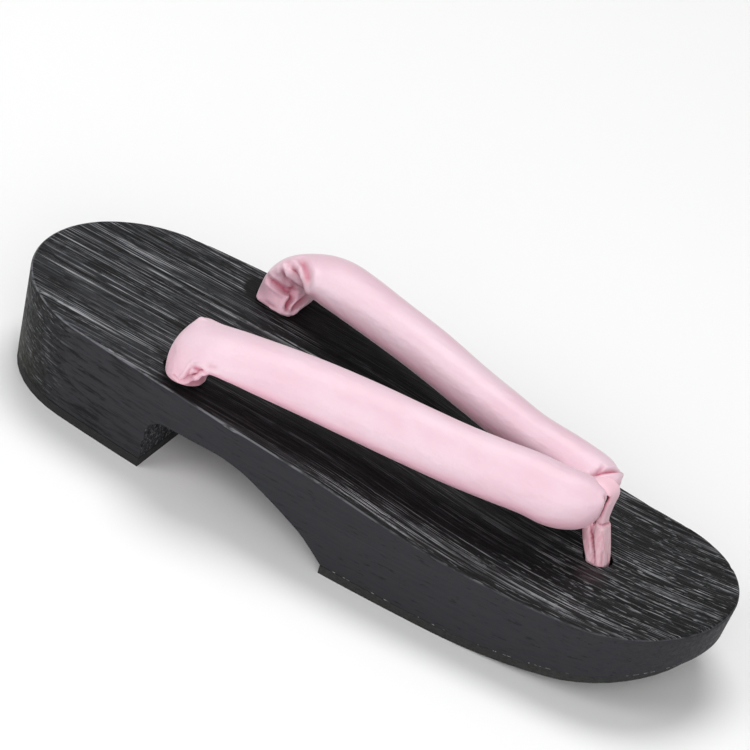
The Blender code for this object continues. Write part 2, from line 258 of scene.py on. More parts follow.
# %% Raised lines of the top, with painted glints
def raised_lines_and_glints(tree, spot, grain, shadow_and_unrubbed):
    """Pale lines of two sizes, broken along their length, and short flecks towards the toe: grain, brightened as
    painted glints on the ridges.
    """
    thin = node(tree, "fade", grain["thin lines"], 0.55, 0.63, 0.0, 0.55)
    thick = node(tree, "fade", grain["thick lines"], 0.62, 0.68, 0.0, 0.85)
    lines = node(tree, "maximum", thin, thick)
    for name, low, high, least in (("breaks", 0.38, 0.58, 0.0), ("patches", 0.38, 0.6, 0.3),
                                   ("blotches", 0.38, 0.48, 0.3)):
        lines = node(tree, "multiply", lines, node(tree, "fade", grain[name], low, high, least, 1.0))
    crumbled = node(tree, "fade", grain["crumbs"], 0.54, 0.46, 0.0, 0.6)
    crumbled = node(tree, "multiply", node(tree, "fade", spot[0], 55.0, 90.0), crumbled)
    lines = node(tree, "multiply", lines, node(tree, "subtract", 1.0, crumbled))
    toward_toe = node(tree, "fade", spot[0], 30.0, 85.0, 0.1, 0.4)
    flecks = node(tree, "multiply", node(tree, "fade", grain["flecks"], 0.6, 0.68), toward_toe)
    lines = node(tree, "maximum", lines, flecks)
    # The strap's painted shadow dims the pale lines as well.
    return node(tree, "multiply", lines, node(tree, "subtract", 1.0, node(tree, "multiply", shadow_and_unrubbed, 0.8)))


# %% Two dark patches on the top, one of them a painted shadow
DarkPatch = namedtuple("DarkPatch", "middle outer inner share colour")
DARK_PATCHES = [
    DarkPatch((79.0, -9.9, 26.2), 6.0, 2.0, 0.6, DARK_MAUVE),  # a faint dark mauve patch on the near side of the loop
    DarkPatch((-59.0, 29.5, 33.0), 7.8, 6.0, 0.97, SHADE_BLACK),  # a painted shadow, near black, at the far rear hole's mouth beside the strap's far end
]


def with_dark_patches(tree, colour):
    for patch in DARK_PATCHES:
        away = node(tree, "distance", millimetres(tree), patch.middle)
        share = node(tree, "fade", away, patch.outer, patch.inner, 0.0, patch.share)
        colour = node(tree, "tint", share, colour, screen_colour(patch.colour))
    return colour


print("dark_patches:", [patch.middle for patch in DARK_PATCHES])

# %% [markdown]
# ### Sides, rim and the heel's chiselled front
# A saw leaves the sides smooth, with short dark dashes of open grain. Round the heel the saw has crossed the
# grain, so it shows scuffs and dark cracks there, and the heel's foot is a little olive with dust. The front
# of the heel block is chiselled and crumbly, and the rim is pale, rubbed by handling and with a painted edge
# highlight.

# %% Sawn sides
CRACK_CELLS = (0.1, 0.1, 0.8)
CRACK_WIDTH = 0.08
CRACK_LEVELS = 2


def hairlines(tree, cells):
    """1 on thin lines that follow a stretched noise at evenly spaced levels, like the contours of a map."""
    field = node(tree, "speckle", millimetres(tree, cells), 1.0, 2.0, 0.5, 0.15)
    away = node(tree, "pingpong", node(tree, "multiply", field, CRACK_LEVELS), 0.5)
    return node(tree, "fade", away, CRACK_WIDTH * CRACK_LEVELS, CRACK_WIDTH * CRACK_LEVELS * 0.4)


def sawn_sides(tree, spot, lines):
    """Dashes all round. Behind the heel the end grain adds scuffs and cracks."""
    black = screen_colour(CHAR_BLACK)
    dashes = node(tree, "speckle", millimetres(tree, (0.16, 1.0, 1.0)), 1.0, 3.0, 0.65, 0.2)
    open_grain = node(tree, "fade", dashes, 0.42, 0.3, 0.0, 0.75)
    side = node(tree, "tint", open_grain, screen_colour(SIDE_GREY), screen_colour(SIDE_DARK))
    toward_heel = node(tree, "fade", spot[0], -40.0, -85.0)
    heel_lines = node(tree, "multiply", toward_heel, node(tree, "fade", lines, 0.52, 0.38, 0.0, 0.8))
    side = node(tree, "tint", heel_lines, side, black)
    end_grain = node(tree, "fade", spot[0], -84.0, -104.0)
    scuffs = node(tree, "speckle", millimetres(tree, (0.12, 0.12, 1.2)), 1.0, 4.0, 0.7)
    darker = node(tree, "maximum", node(tree, "fade", scuffs, 0.54, 0.44), 0.3)
    side = node(tree, "tint", node(tree, "multiply", end_grain, darker), side, black)
    paler = node(tree, "multiply", end_grain, node(tree, "fade", scuffs, 0.55, 0.62, 0.0, 0.4))
    side = node(tree, "tint", paler, side, screen_colour(BRUSHED_LIGHT))
    cracks = node(tree, "multiply", end_grain, hairlines(tree, CRACK_CELLS))
    side = node(tree, "tint", node(tree, "multiply", cracks, node(tree, "fade", dashes, 0.36, 0.5)), side, black)
    foot = node(tree, "multiply", node(tree, "fade", spot[0], -88.0, -116.0), node(tree, "fade", spot[2], 24.0, 6.0))
    return node(tree, "tint", node(tree, "multiply", foot, 0.6), side, screen_colour(HEEL_OLIVE))


# %% Pale rim: rubbed wear and a painted edge highlight
def rim_wear_and_highlight(tree, spot, facing):
    """1 on the slanting edge between top and sides, unevenly, and weaker towards the toe: rubbed wear, and a painted
    edge highlight.
    """
    slanting = node(tree, "fade", facing[2], 0.3, 0.6), node(tree, "fade", facing[2], 0.97, 0.8)
    rim = node(tree, "multiply", *slanting)
    wear = node(tree, "speckle", millimetres(tree, (0.12, 0.4, 0.4)), 1.0, 4.0, 0.7)
    rim = node(tree, "multiply", rim, node(tree, "fade", wear, 0.4, 0.58, 0.2, 0.95))
    return node(tree, "multiply", rim, node(tree, "fade", spot[0], 50.0, -20.0, 0.25, 1.0))


# %% The whole wood finish
GRAIN_RELIEF, CHISEL_RELIEF = 0.5, 1.2  # in millimetres


def charred_paulownia():
    """Matt black wood. Its pale raised lines are what the eye reads as brushed grain, partly painted glints on their
    ridges.
    """
    material, tree, shader = new_finish("charred_paulownia", 1.5, 0.62)
    shader.inputs["Specular IOR Level"].default_value = 0.16
    facing = node(tree, "axes", node(tree, "place")["Normal"])
    spot = node(tree, "axes", millimetres(tree))
    on_top = node(tree, "fade", facing[2], 0.55, 0.9)
    grain, shadow_and_unrubbed = top_grain(tree), strap_shadow_and_unrubbed(tree, spot)
    lines_and_glints = raised_lines_and_glints(tree, spot, grain, shadow_and_unrubbed)
    top = node(tree, "tint", lines_and_glints, top_ground(tree, spot, grain, shadow_and_unrubbed), screen_colour(BRUSHED_LIGHT))
    lines = node(tree, "speckle", millimetres(tree, (0.03, 0.75, 0.75)), 1.0, 4.0, 0.72, 0.35)
    chips = node(tree, "speckle", millimetres(tree, (0.9, 0.9, 0.9)), 1.0, 5.0, 0.75)
    forward = node(tree, "fade", facing[0], 0.35, 0.7)
    on_face = node(tree, "multiply", forward, node(tree, "fade", spot[0], -20.0, -45.0))
    pale_chips = node(tree, "multiply", on_face, node(tree, "fade", chips, 0.5, 0.66, 0.0, 0.5))
    side = node(tree, "tint", pale_chips, sawn_sides(tree, spot, lines), screen_colour(BRUSHED_LIGHT))
    colour = node(tree, "tint", on_top, side, with_dark_patches(tree, top))
    # The pale rim is rubbed wear and a painted edge highlight.
    colour = node(tree, "tint", rim_wear_and_highlight(tree, spot, facing), colour, screen_colour(PALE_RIM))
    # Painted shade: faces inside the holes and pockets are made black.
    bore_shade = node(tree, "stored", attribute_name="bore_shade")
    colour = node(tree, "tint", bore_shade, colour, screen_colour(SHADE_BLACK))
    tree.links.new(colour, shader.inputs["Base Color"])
    tree.links.new(node(tree, "fade", lines, 0.35, 0.65, 0.72, 0.5), shader.inputs["Roughness"])
    top_relief = node(tree, "add", grain["grooves"], node(tree, "multiply", lines_and_glints, 0.35))
    side_height = node(tree, "multiply", lines, node(tree, "fade", on_top, 0.0, 1.0, 0.25, 0.0))
    height = node(tree, "add", node(tree, "multiply", top_relief, on_top), side_height)
    bump = node(tree, "bump", height, GRAIN_RELIEF * MM)
    bump = node(tree, "bump", node(tree, "multiply", chips, on_face), CHISEL_RELIEF * MM, bump)
    tree.links.new(bump, shader.inputs["Normal"])
    return material


wood_finish = charred_paulownia()
print("wood finish has", len(wood_finish.node_tree.nodes), "nodes")

# %% [markdown]
# ## The wooden base
# On the real sandal this is one sawn block: round ends, shallow curved sides that lean in, a top hollowed
# from heel to toe, and an arch cut out behind the forefoot. The solid already has this shape, but its rim
# is a machine's. The base is built again here from the same sizes in a fine grid, so the rim can be worn
# unevenly, the brushed lines can stand up a little, and the heel's front can be rough. Holes and the
# underside are cut with exact Booleans, as in the solid.

# %% The base's sizes, as in the solid
LENGTH, WIDTH, END_RADIUS = 240.0, 85.5, 37.6
WALL_LEAN, EASED_EDGE = 3.4, 1.0
HEEL_TOP, HEEL_FACE_X, HEEL_FACE_TOP, HEEL_FILLET = 33.0, -56.3, 13.6, 6.0
WOOD_BOTTOM, FOREFOOT_REAR_X, FLAT_END_X, SPRING_RADIUS = 3.3, 9.0, 45.0, 185.0
REAR_HOLE_X, REAR_HOLE_Y, REAR_HOLE_RADIUS, REAR_HOLE_TILT = -54.6, 28.5, 4.8, 42.0
REAR_POCKET_X, REAR_POCKET_RADIUS, REAR_POCKET_TOP = -46.5, 8.0, 25.0
FRONT_HOLE_X, FRONT_HOLE_RADIUS, FRONT_POCKET_RADIUS, FRONT_POCKET_TOP = 76.8, 4.7, 8.5, 15.0
REAR_DRILL_DEPTH, POCKET_DEPTH, FRONT_DRILL_DEPTH = 36, 20, 30
END_STEPS, SIDE_STEPS, ACROSS_STEPS, WALL_STEPS, DRILL_SIDES = 56, 90, 96, 14, 48
BLOCK_BELOW = 0.3  # the block is made this much too deep and then cut to its underside

# %% Side view of the base
ProfilePoint = namedtuple("ProfilePoint", "x height")
TOP_FACE = [
    ProfilePoint(-130, HEEL_TOP), ProfilePoint(-95, HEEL_TOP), ProfilePoint(-60, HEEL_TOP),
    ProfilePoint(-40, 32.8), ProfilePoint(-18, 32.1), ProfilePoint(2, 30.9), ProfilePoint(22, 28.7),
    ProfilePoint(42, 26.7), ProfilePoint(62, 25.9), ProfilePoint(82, 26.3), ProfilePoint(102, 28.0),
    ProfilePoint(122, 30.6),
]
ARCH = [
    ProfilePoint(HEEL_FACE_X + HEEL_FILLET, HEEL_FACE_TOP + HEEL_FILLET), ProfilePoint(-40, 20.2),
    ProfilePoint(-30, 20.6), ProfilePoint(-22, 19.4), ProfilePoint(-14, 16.6), ProfilePoint(-6, 13.2),
    ProfilePoint(1, 9.6), ProfilePoint(FOREFOOT_REAR_X, WOOD_BOTTOM),
]
print("side view points:", len(TOP_FACE), "on top and", len(ARCH), "in the arch")


# %% Reading a table smoothly
def smooth_columns(places, rows, wanted):
    """Each column of rows read smoothly at the wanted places."""
    places, rows, wanted = (np.asarray(a, float) for a in (places, rows, wanted))
    slopes = np.gradient(rows, places, axis=0)
    i = np.clip(np.searchsorted(places, wanted) - 1, 0, len(places) - 2)
    step = (places[i + 1] - places[i])[:, None]
    t = ((wanted - places[i]) / step[:, 0])[:, None]
    start = (1 + 2 * t) * (1 - t) ** 2 * rows[i] + t * (1 - t) ** 2 * step * slopes[i]
    end = t * t * (3 - 2 * t) * rows[i + 1] - t * t * (1 - t) * step * slopes[i + 1]
    return start + end


def profile_height(profile, x):
    heights = [[point.height] for point in profile]
    return float(smooth_columns([point.x for point in profile], heights, [x])[0, 0])


def top_height(x):
    return profile_height(TOP_FACE, x)


def spring_height(x, lift=0.0):
    """Height of the forefoot's underside, level and then rising to the toe, lifted along its normal."""
    run = max(0.0, x - FLAT_END_X)
    return SPRING_RADIUS - math.sqrt((SPRING_RADIUS - lift) ** 2 - run**2)


print("top at the middle:", round(top_height(0), 2), "mm")


# %% Outline from above
def outline(inset):
    """The base's outline from above, drawn in by inset."""
    reach, half = LENGTH / 2 - END_RADIUS, WIDTH / 2
    side_radius = (half**2 + reach**2 - END_RADIUS**2) / (2 * (half - END_RADIUS))
    spread = math.asin(reach / (side_radius - END_RADIUS))
    points = []
    for way in (1, -1):
        for turn in np.linspace(-math.pi / 2 + spread, math.pi / 2 - spread, END_STEPS + 1):
            radius = END_RADIUS - inset
            points.append((way * (reach + radius * math.cos(turn)), way * radius * math.sin(turn)))
        for turn in np.linspace(spread, -spread, SIDE_STEPS + 1)[1:-1]:
            radius, drop = side_radius - inset, half - side_radius
            points.append((way * radius * math.sin(turn), way * (drop + radius * math.cos(turn))))
    return points


print("outline points:", len(outline(0)))


# %% Mesh helpers
def new_piece(name, points, faces, material=None):
    """An object from points in millimetres."""
    mesh = bpy.data.meshes.new(name)
    mesh.from_pydata([tuple(c * MM for c in point) for point in points], [], faces)
    mesh.shade_smooth()
    if material:
        mesh.materials.append(material)
    piece = bpy.data.objects.new(name, mesh)
    bpy.context.scene.collection.objects.link(piece)
    return piece


def face_outward(piece):
    shape = bmesh.new()
    shape.from_mesh(piece.data)
    bmesh.ops.recalc_face_normals(shape, faces=shape.faces)
    shape.to_mesh(piece.data)
    shape.free()


def positions(piece):
    """The piece's points in millimetres, as an array."""
    flat = np.empty(len(piece.data.vertices) * 3, np.float32)
    piece.data.vertices.foreach_get("co", flat)
    return flat.reshape(-1, 3).astype(float) / MM


def move_points(piece, points):
    piece.data.vertices.foreach_set("co", (np.asarray(points) * MM).astype(np.float32).ravel())
    piece.data.update()


def normals(piece):
    flat = np.empty(len(piece.data.vertices) * 3, np.float32)
    piece.data.vertex_normals.foreach_get("vector", flat)
    return flat.reshape(-1, 3).astype(float)


# %% Modifiers and cutters
def bake(piece):
    """Turns the piece's modifiers into plain mesh."""
    evaluated = piece.evaluated_get(bpy.context.evaluated_depsgraph_get())
    mesh = bpy.data.meshes.new_from_object(evaluated)
    piece.modifiers.clear()
    spare, piece.data = piece.data, mesh
    bpy.data.meshes.remove(spare)
    return piece


def cut(piece, *cutters):
    for cutter in cutters:
        modifier = piece.modifiers.new("cut", "BOOLEAN")
        modifier.operation, modifier.solver, modifier.object = "DIFFERENCE", "EXACT", cutter
    bake(piece)
    for cutter in cutters:
        bpy.data.objects.remove(cutter)


# %% Unevenness
def rough_wave(points, reach, seed):
    """A smooth random wave from -1 to 1 at each point, with its own reach along each axis."""
    shift = Vector((seed * 17.3, seed * 5.1, seed * 9.7))
    return np.array([noise.noise(Vector([p / r for p, r in zip(point, reach)]) + shift) for point in points])


# %% The block in a fine grid
EDGE_TURNS = (0, 22.5, 45, 67.5, 90)  # degrees round the eased edge


def base_block():
    count = len(outline(0.0))
    rings = []
    for share in np.linspace(0, 1, WALL_STEPS + 1)[:-1]:
        foot = outline(WALL_LEAN)
        head = outline(0.0)
        ring = []
        for (x0, y0), (x1, y1) in zip(foot, head):
            top = top_height(x1) - EASED_EDGE
            height = -BLOCK_BELOW + (top + BLOCK_BELOW) * share
            ring.append((x0 + (x1 - x0) * share, y0 + (y1 - y0) * share, height))
        rings.append(ring)
    for turn in EDGE_TURNS:
        inset = EASED_EDGE * (1 - math.cos(math.radians(turn)))
        drop = EASED_EDGE * (1 - math.sin(math.radians(turn)))
        rings.append([(x, y, top_height(x) - drop) for x, y in outline(inset)])
    points = [point for ring in rings for point in ring]
    faces = []
    for r in range(len(rings) - 1):
        for i in range(count):
            j = (i + 1) % count
            faces.append((r * count + i, r * count + j, (r + 1) * count + j, (r + 1) * count + i))
    faces.append(tuple(range(count))[::-1])
    # Rows run straight across the top between partners on the rim, each a row of fine cells.
    rim = (len(rings) - 1) * count
    toe, heel = END_STEPS // 2, END_STEPS // 2 + count // 2
    rows = []
    for i in range(toe, heel + 1):
        j = (END_STEPS - i) % count
        if i in (toe, heel):
            rows.append([rim + i] * (ACROSS_STEPS + 1))
            continue
        start, end = np.array(points[rim + i]), np.array(points[rim + j])
        row = [rim + i]
        for share in np.linspace(0, 1, ACROSS_STEPS + 1)[1:-1]:
            row.append(len(points))
            points.append(tuple(start + (end - start) * share))
        rows.append(row + [rim + j])
    for row, following in zip(rows, rows[1:]):
        for a, b, c, d in zip(row, row[1:], following[1:], following):
            corners = list(dict.fromkeys((a, b, c, d)))
            if len(corners) > 2:
                faces.append(tuple(corners[::-1]))
    piece = new_piece("geta_base", points, faces, wood_finish)
    face_outward(piece)
    return piece


# %% What the saw and the drill take away
def underside_cutter():
    """Everything below the wood, as one side view swept across in fine strips."""
    far, deep, half, strips = LENGTH / 2 + 10, -10.0, 46.0, 92
    profile = [(-far, deep), (-far, WOOD_BOTTOM)]
    profile += [(x, WOOD_BOTTOM) for x in np.linspace(-110, HEEL_FACE_X, 12)]
    profile += [(HEEL_FACE_X, z) for z in np.linspace(WOOD_BOTTOM, HEEL_FACE_TOP, 11)[1:-1]]
    for turn in np.radians(np.linspace(0, 90, 9)):
        back, up = HEEL_FILLET * (1 - math.cos(turn)), HEEL_FILLET * math.sin(turn)
        profile.append((HEEL_FACE_X + back, HEEL_FACE_TOP + up))
    profile += [(x, profile_height(ARCH, x)) for x in np.linspace(ARCH[0].x, FOREFOOT_REAR_X, 40)[1:]]
    profile += [(x, spring_height(x, WOOD_BOTTOM)) for x in np.linspace(FLAT_END_X, far, 40)]
    profile.append((far, deep))
    points = [(x, y, z) for y in np.linspace(-half, half, strips + 1) for x, z in profile]
    n = len(profile)
    faces = [tuple(range(n)), tuple(range(strips * n, (strips + 1) * n))[::-1]]
    for s in range(strips):
        for i in range(n):
            j = (i + 1) % n
            faces.append((s * n + i, (s + 1) * n + i, (s + 1) * n + j, s * n + j))
    piece = new_piece("underside_cutter", points, faces)
    face_outward(piece)
    return piece


def drill(x, y, height, radius, depth, tilt=0.0):
    shape = bmesh.new()
    bmesh.ops.create_cone(shape, cap_ends=True, segments=DRILL_SIDES, radius1=radius * MM, radius2=radius * MM,
                          depth=depth * MM)
    place = Matrix.Translation(Vector((x, y, height)) * MM) @ Matrix.Rotation(math.radians(-tilt), 4, "Y")
    bmesh.ops.transform(shape, matrix=place, verts=shape.verts)
    mesh = bpy.data.meshes.new("drill")
    shape.to_mesh(mesh)
    shape.free()
    cutter = bpy.data.objects.new("drill", mesh)
    bpy.context.scene.collection.objects.link(cutter)
    return cutter


# %% Cutting the base
FRONT_DRILL_MIDDLE = 25

base = base_block()
cutters = [underside_cutter()]
for y in (REAR_HOLE_Y, -REAR_HOLE_Y):
    cutters.append(drill(REAR_HOLE_X, y, HEEL_TOP, REAR_HOLE_RADIUS, REAR_DRILL_DEPTH, REAR_HOLE_TILT))
    middle = REAR_POCKET_TOP - POCKET_DEPTH / 2
    cutters.append(drill(REAR_POCKET_X, y, middle, REAR_POCKET_RADIUS, POCKET_DEPTH))
cutters.append(drill(FRONT_HOLE_X, 0, FRONT_DRILL_MIDDLE, FRONT_HOLE_RADIUS, FRONT_DRILL_DEPTH))
middle = FRONT_POCKET_TOP - FRONT_DRILL_DEPTH / 2
cutters.append(drill(FRONT_HOLE_X, 0, middle, FRONT_POCKET_RADIUS, FRONT_DRILL_DEPTH))
cut(base, *cutters)
print("base after cutting:", len(base.data.vertices), "points")


# %% Painted shade in the bores
OPEN_TOP = 99  # a hole without a ceiling
BORE_SLACK = 0.05


def shade_bores(piece):
    """Stores 1 on the faces inside the holes and pockets, which the finish paints black as shade, since no light
    shows the wood's colour there.
    """
    tilt = math.radians(REAR_HOLE_TILT)
    upright, slanting = (0, 0, 1), (-math.sin(tilt), 0, math.cos(tilt))
    bores = [
        ((FRONT_HOLE_X, 0), upright, FRONT_HOLE_RADIUS, OPEN_TOP),
        ((FRONT_HOLE_X, 0), upright, FRONT_POCKET_RADIUS, FRONT_POCKET_TOP),
    ]
    for y in (REAR_HOLE_Y, -REAR_HOLE_Y):
        bores.append(((REAR_HOLE_X, y), slanting, REAR_HOLE_RADIUS, OPEN_TOP))
        bores.append(((REAR_POCKET_X, y), upright, REAR_POCKET_RADIUS, REAR_POCKET_TOP))
    points = positions(piece)
    inside = np.zeros((len(bores), len(points)), bool)
    for row, ((x, y), axis, radius, top) in enumerate(bores):
        offset = points - (x, y, HEEL_TOP if x < 0 else 0)
        away = offset - np.outer(offset @ np.array(axis), axis)
        inside[row] = (np.linalg.norm(away, axis=1) < radius + BORE_SLACK) & (points[:, 2] < top + BORE_SLACK)
    dark = [float(any(row[list(face.vertices)].all() for row in inside)) for face in piece.data.polygons]
    piece.data.attributes.new("bore_shade", "FLOAT", "FACE").data.foreach_set("value", dark)
    return int(sum(dark))


print("faces inside bores:", shade_bores(base))

# %% [markdown]
# ### Relief on the base
# Brushing leaves grooves a fraction of a millimetre deep along the grain, a chisel leaves the heel's front
# lumpy, and handling rounds and nicks the rim. Each is a small move of the grid's points.

# %% Grooves, nicks and chisel marks
Wave = namedtuple("Wave", "reach seed share")
GROOVES = [Wave((34, 2.2, 8), 1, 0.7), Wave((18, 1.2, 8), 2, 0.4)]
CHISEL_MARKS = [Wave((2.2, 2.2, 2.2), 4, 1.0), Wave((1.1, 1.1, 1.1), 5, 0.5)]
NICKS = [Wave((6, 3, 3), 3, 1.0)]
NICK_THRESHOLD, NICK_GAIN = 0.25, 1.6
GROOVE_DEPTH = 0.16
NICK_DEPTH = 0.55
CHISEL_DEPTH = 0.45
CHISELLED_X, CHISELLED_TOP = (-57, -49), 19
SHARP_ANGLE = 38


def waves(points, table):
    return sum(rough_wave(points, wave.reach, wave.seed) * wave.share for wave in table)


def wear_base(piece):
    points, facing = positions(piece), normals(piece)
    below = np.array([top_height(x) for x in points[:, 0]]) - points[:, 2]
    on_top = np.clip((facing[:, 2] - 0.6) / 0.3, 0, 1) * (below < 1.5)
    groove = on_top * waves(points, GROOVES) * GROOVE_DEPTH - on_top * GROOVE_DEPTH * 0.5
    moved = points + np.outer(groove, (0, 0, 1))
    # Nicks bite down and inwards at the rim only.
    nick = np.clip(waves(points, NICKS) - NICK_THRESHOLD, 0, 1) * NICK_GAIN
    at_rim = np.clip(1 - np.abs(below - 0.4) / 1.2, 0, 1) * (facing[:, 2] > 0.15) * (facing[:, 2] < 0.995)
    moved -= facing * (nick * at_rim * NICK_DEPTH)[:, None]
    x, z = points[:, 0], points[:, 2]
    on_face = (facing[:, 0] > 0.6) * (x < CHISELLED_X[1]) * (x > CHISELLED_X[0]) * (z < CHISELLED_TOP)
    on_face = on_face * (z > WOOD_BOTTOM + 0.6)
    moved[:, 0] += on_face * (waves(points, CHISEL_MARKS) - 0.5) * CHISEL_DEPTH
    move_points(piece, moved)
    return float(np.abs(moved - points).max())


print("wear moves points by up to", round(wear_base(base), 2), "mm")
base.data.shade_smooth()
base.data.set_sharp_from_angle(angle=math.radians(SHARP_ANGLE))
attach(base, "root")
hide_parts("wooden_base")
print("base:", len(base.data.polygons), "faces")

# %% [markdown]
# ## Rubber under heel and forefoot
# Thin crepe-like rubber is glued under the wood. Its solids have the right shape, so they stay and only
# get a finish: dull, slightly olive, with a fine pebbled cut edge.

# %% Rubber finishes
RUBBER_GREY = "#2b2c2a"
RUBBER_DARK = "#171817"
HEEL_RUBBER_GREY = "#1d1d1f"
HEEL_RUBBER_DARK = "#0f0f10"
PEBBLE_RELIEF = 0.25


def dull_rubber(name, ground_code, dark_code):
    """Matt rubber. The fine speckle keeps the thin edge from looking painted."""
    material, tree, shader = new_finish(name, 1.52, 0.85)
    pebbles = node(tree, "speckle", millimetres(tree, (0.8, 1.4, 1.4)), 1.0, 4.0, 0.7)
    smears = node(tree, "speckle", millimetres(tree, (0.08, 0.2, 0.2)), 1.0, 2.0, 0.5)
    colour = node(tree, "tint", node(tree, "fade", pebbles, 0.36, 0.62), screen_colour(dark_code),
                  screen_colour(ground_code))
    colour = node(tree, "tint", node(tree, "fade", smears, 0.62, 0.4, 0.0, 0.4), colour, screen_colour(dark_code))
    tree.links.new(colour, shader.inputs["Base Color"])
    tree.links.new(node(tree, "bump", pebbles, PEBBLE_RELIEF * MM), shader.inputs["Normal"])
    return material


RUBBER_PIECES = {
    "forefoot_rubber": (RUBBER_GREY, RUBBER_DARK),
    "heel_rubber": (HEEL_RUBBER_GREY, HEEL_RUBBER_DARK),
}
for node_name, codes in RUBBER_PIECES.items():
    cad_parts[node_name].material_slots[0].material = dull_rubber(node_name + "_finish", *codes)
print("rubber pieces:", list(RUBBER_PIECES))

# %% [markdown]
# ## Satin and band cloth
# The strap is satin pulled tight over wadding: pale pink, softly glossy, with threads too fine to count.
# The loop is a plainer woven band, a touch duller. Threads are drawn a little coarser than real ones so
# that they still show from the photo's distance.

# %% Pink cloths
SATIN_PINK = "#e1c5d0"
SATIN_SHADE = "#dfbcc9"
SHADED_PINK = "#ebafc1"
FOLD_SHADE_ROSE = "#ad3f5d"
SLIT_SHADE = "#35151d"
BAND_PINK = "#ffdbe5"
BAND_TOP = "#eec2cf"
BAND_SHADE = "#f7bdcb"
THREAD_PITCH = 0.42
BAND_PERIOD = 0.31  # the pitch of Blender's band pattern at scale 1
THREAD_RELIEF, PUCKER_RELIEF, WEAVE_RELIEF, RIB_RELIEF = 0.05, 0.16, 0.12, 0.1
print("threads of the band:", THREAD_PITCH, "mm apart")


# %% Painted shade in the folds
def shade_in_folds(tree, colour):
    """Painted shade inside folds: rose, and nearly black in a narrow slit."""
    tone = node(tree, "stored", attribute_name="fold")
    colour = node(tree, "tint", node(tree, "minimum", tone, 1.0), colour, screen_colour(FOLD_SHADE_ROSE))
    return node(tree, "tint", node(tree, "fade", tone, 0.95, 1.35), colour, screen_colour(SLIT_SHADE))


# %% Satin
def pink_satin():
    """Smooth satin. A weak sheen lightens its turned-away edges. Undersides and gathered ends are painted a deeper
    pink as shade, and its folds get painted shade too.
    """
    material, tree, shader = new_finish("pink_satin", 1.5, 0.46)
    shader.inputs["Sheen Weight"].default_value = 0.25
    shader.inputs["Sheen Roughness"].default_value = 0.4
    clouds = node(tree, "speckle", millimetres(tree, (0.05, 0.09, 0.09)), 1.0, 3.0, 0.55)
    threads = node(tree, "speckle", millimetres(tree, (2.2, 0.5, 0.5)), 1.0, 2.0, 0.5)
    colour = node(tree, "tint", node(tree, "fade", clouds, 0.35, 0.65), screen_colour(SATIN_SHADE),
                  screen_colour(SATIN_PINK))
    colour = node(tree, "tint", node(tree, "fade", threads, 0.35, 0.65, 0.0, 0.18), colour,
                  screen_colour(SATIN_SHADE))
    upward = node(tree, "axes", node(tree, "place")["Normal"])[2]
    spot = node(tree, "axes", millimetres(tree))
    # Painted shade: the low gathered ends and the downward-facing sides take a deeper pink.
    low = node(tree, "fade", spot[2], 49.0, 39.0, 0.0, 0.5)
    gathered = node(tree, "multiply", node(tree, "fade", spot[0], -42.0, -51.0), low)
    deep = node(tree, "maximum", gathered, node(tree, "fade", upward, 0.2, -0.7, 0.0, 0.9))
    colour = node(tree, "tint", deep, colour, screen_colour(SHADED_PINK))
    colour = shade_in_folds(tree, colour)
    tree.links.new(colour, shader.inputs["Base Color"])
    puckers = node(tree, "speckle", millimetres(tree, (0.16, 0.5, 0.5)), 1.0, 2.0, 0.5)
    bump = node(tree, "bump", puckers, PUCKER_RELIEF * MM)
    bump = node(tree, "bump", threads, THREAD_RELIEF * MM, bump)
    tree.links.new(bump, shader.inputs["Normal"])
    return material


# %% Band cloth
def pink_band():
    """Plain weave, duller than the satin, with threads both ways and ribs where it is bunched into its hole. Its legs
    are painted paler than its top, as light that lifts the strap's shadow on them.
    """
    material, tree, shader = new_finish("pink_band", 1.5, 0.7)
    shader.inputs["Sheen Weight"].default_value = 0.2
    place, scale = millimetres(tree), BAND_PERIOD / THREAD_PITCH
    warp = node(tree, "bands", place, scale, bands_direction="Y")
    weft = node(tree, "bands", place, scale, bands_direction="Z")
    weave = node(tree, "multiply", warp, weft)
    height = node(tree, "axes", millimetres(tree))[2]
    gathered = node(tree, "fade", height, 40.0, 36.5, 0.15, 1.0)
    uneven = node(tree, "speckle", millimetres(tree, (0.9, 0.9, 0.25)), 1.0, 3.0, 0.6)
    uneven = node(tree, "multiply", node(tree, "subtract", uneven, 0.62), gathered)
    colour = node(tree, "tint", node(tree, "fade", uneven, -0.28, 0.0), screen_colour(BAND_SHADE),
                  screen_colour(BAND_PINK))
    colour = node(tree, "tint", node(tree, "fade", weave, 0.6, 0.05, 0.0, 0.35), colour, screen_colour(BAND_SHADE))
    # Painted light: the shaded legs keep the paler BAND_PINK, and the lit top is tinted to the deeper BAND_TOP.
    colour = node(tree, "tint", node(tree, "fade", height, 37.6, 39.4, 0.0, 0.9), colour, screen_colour(BAND_TOP))
    colour = shade_in_folds(tree, colour)
    tree.links.new(colour, shader.inputs["Base Color"])
    weave = node(tree, "multiply", weave, gathered)
    bump = node(tree, "bump", uneven, RIB_RELIEF * MM)
    bump = node(tree, "bump", weave, WEAVE_RELIEF * MM, bump)
    tree.links.new(bump, shader.inputs["Normal"])
    return material


satin, band = pink_satin(), pink_band()
print("cloth finishes have", len(satin.node_tree.nodes), "and", len(band.node_tree.nodes), "nodes")

# %% [markdown]
# ## The padded strap
# One tube of satin filled with wadding is folded into a V. Each arm narrows under the loop, swells along
# its length, and at the back turns down, flattens and is gathered into its hole. The arms are lofted from
# stations like those of the solid: pinch is above zero where the section is pressed thin at its edges and
# below zero where it is squared by its hole. They are joined by a voxel remesh into one skin.

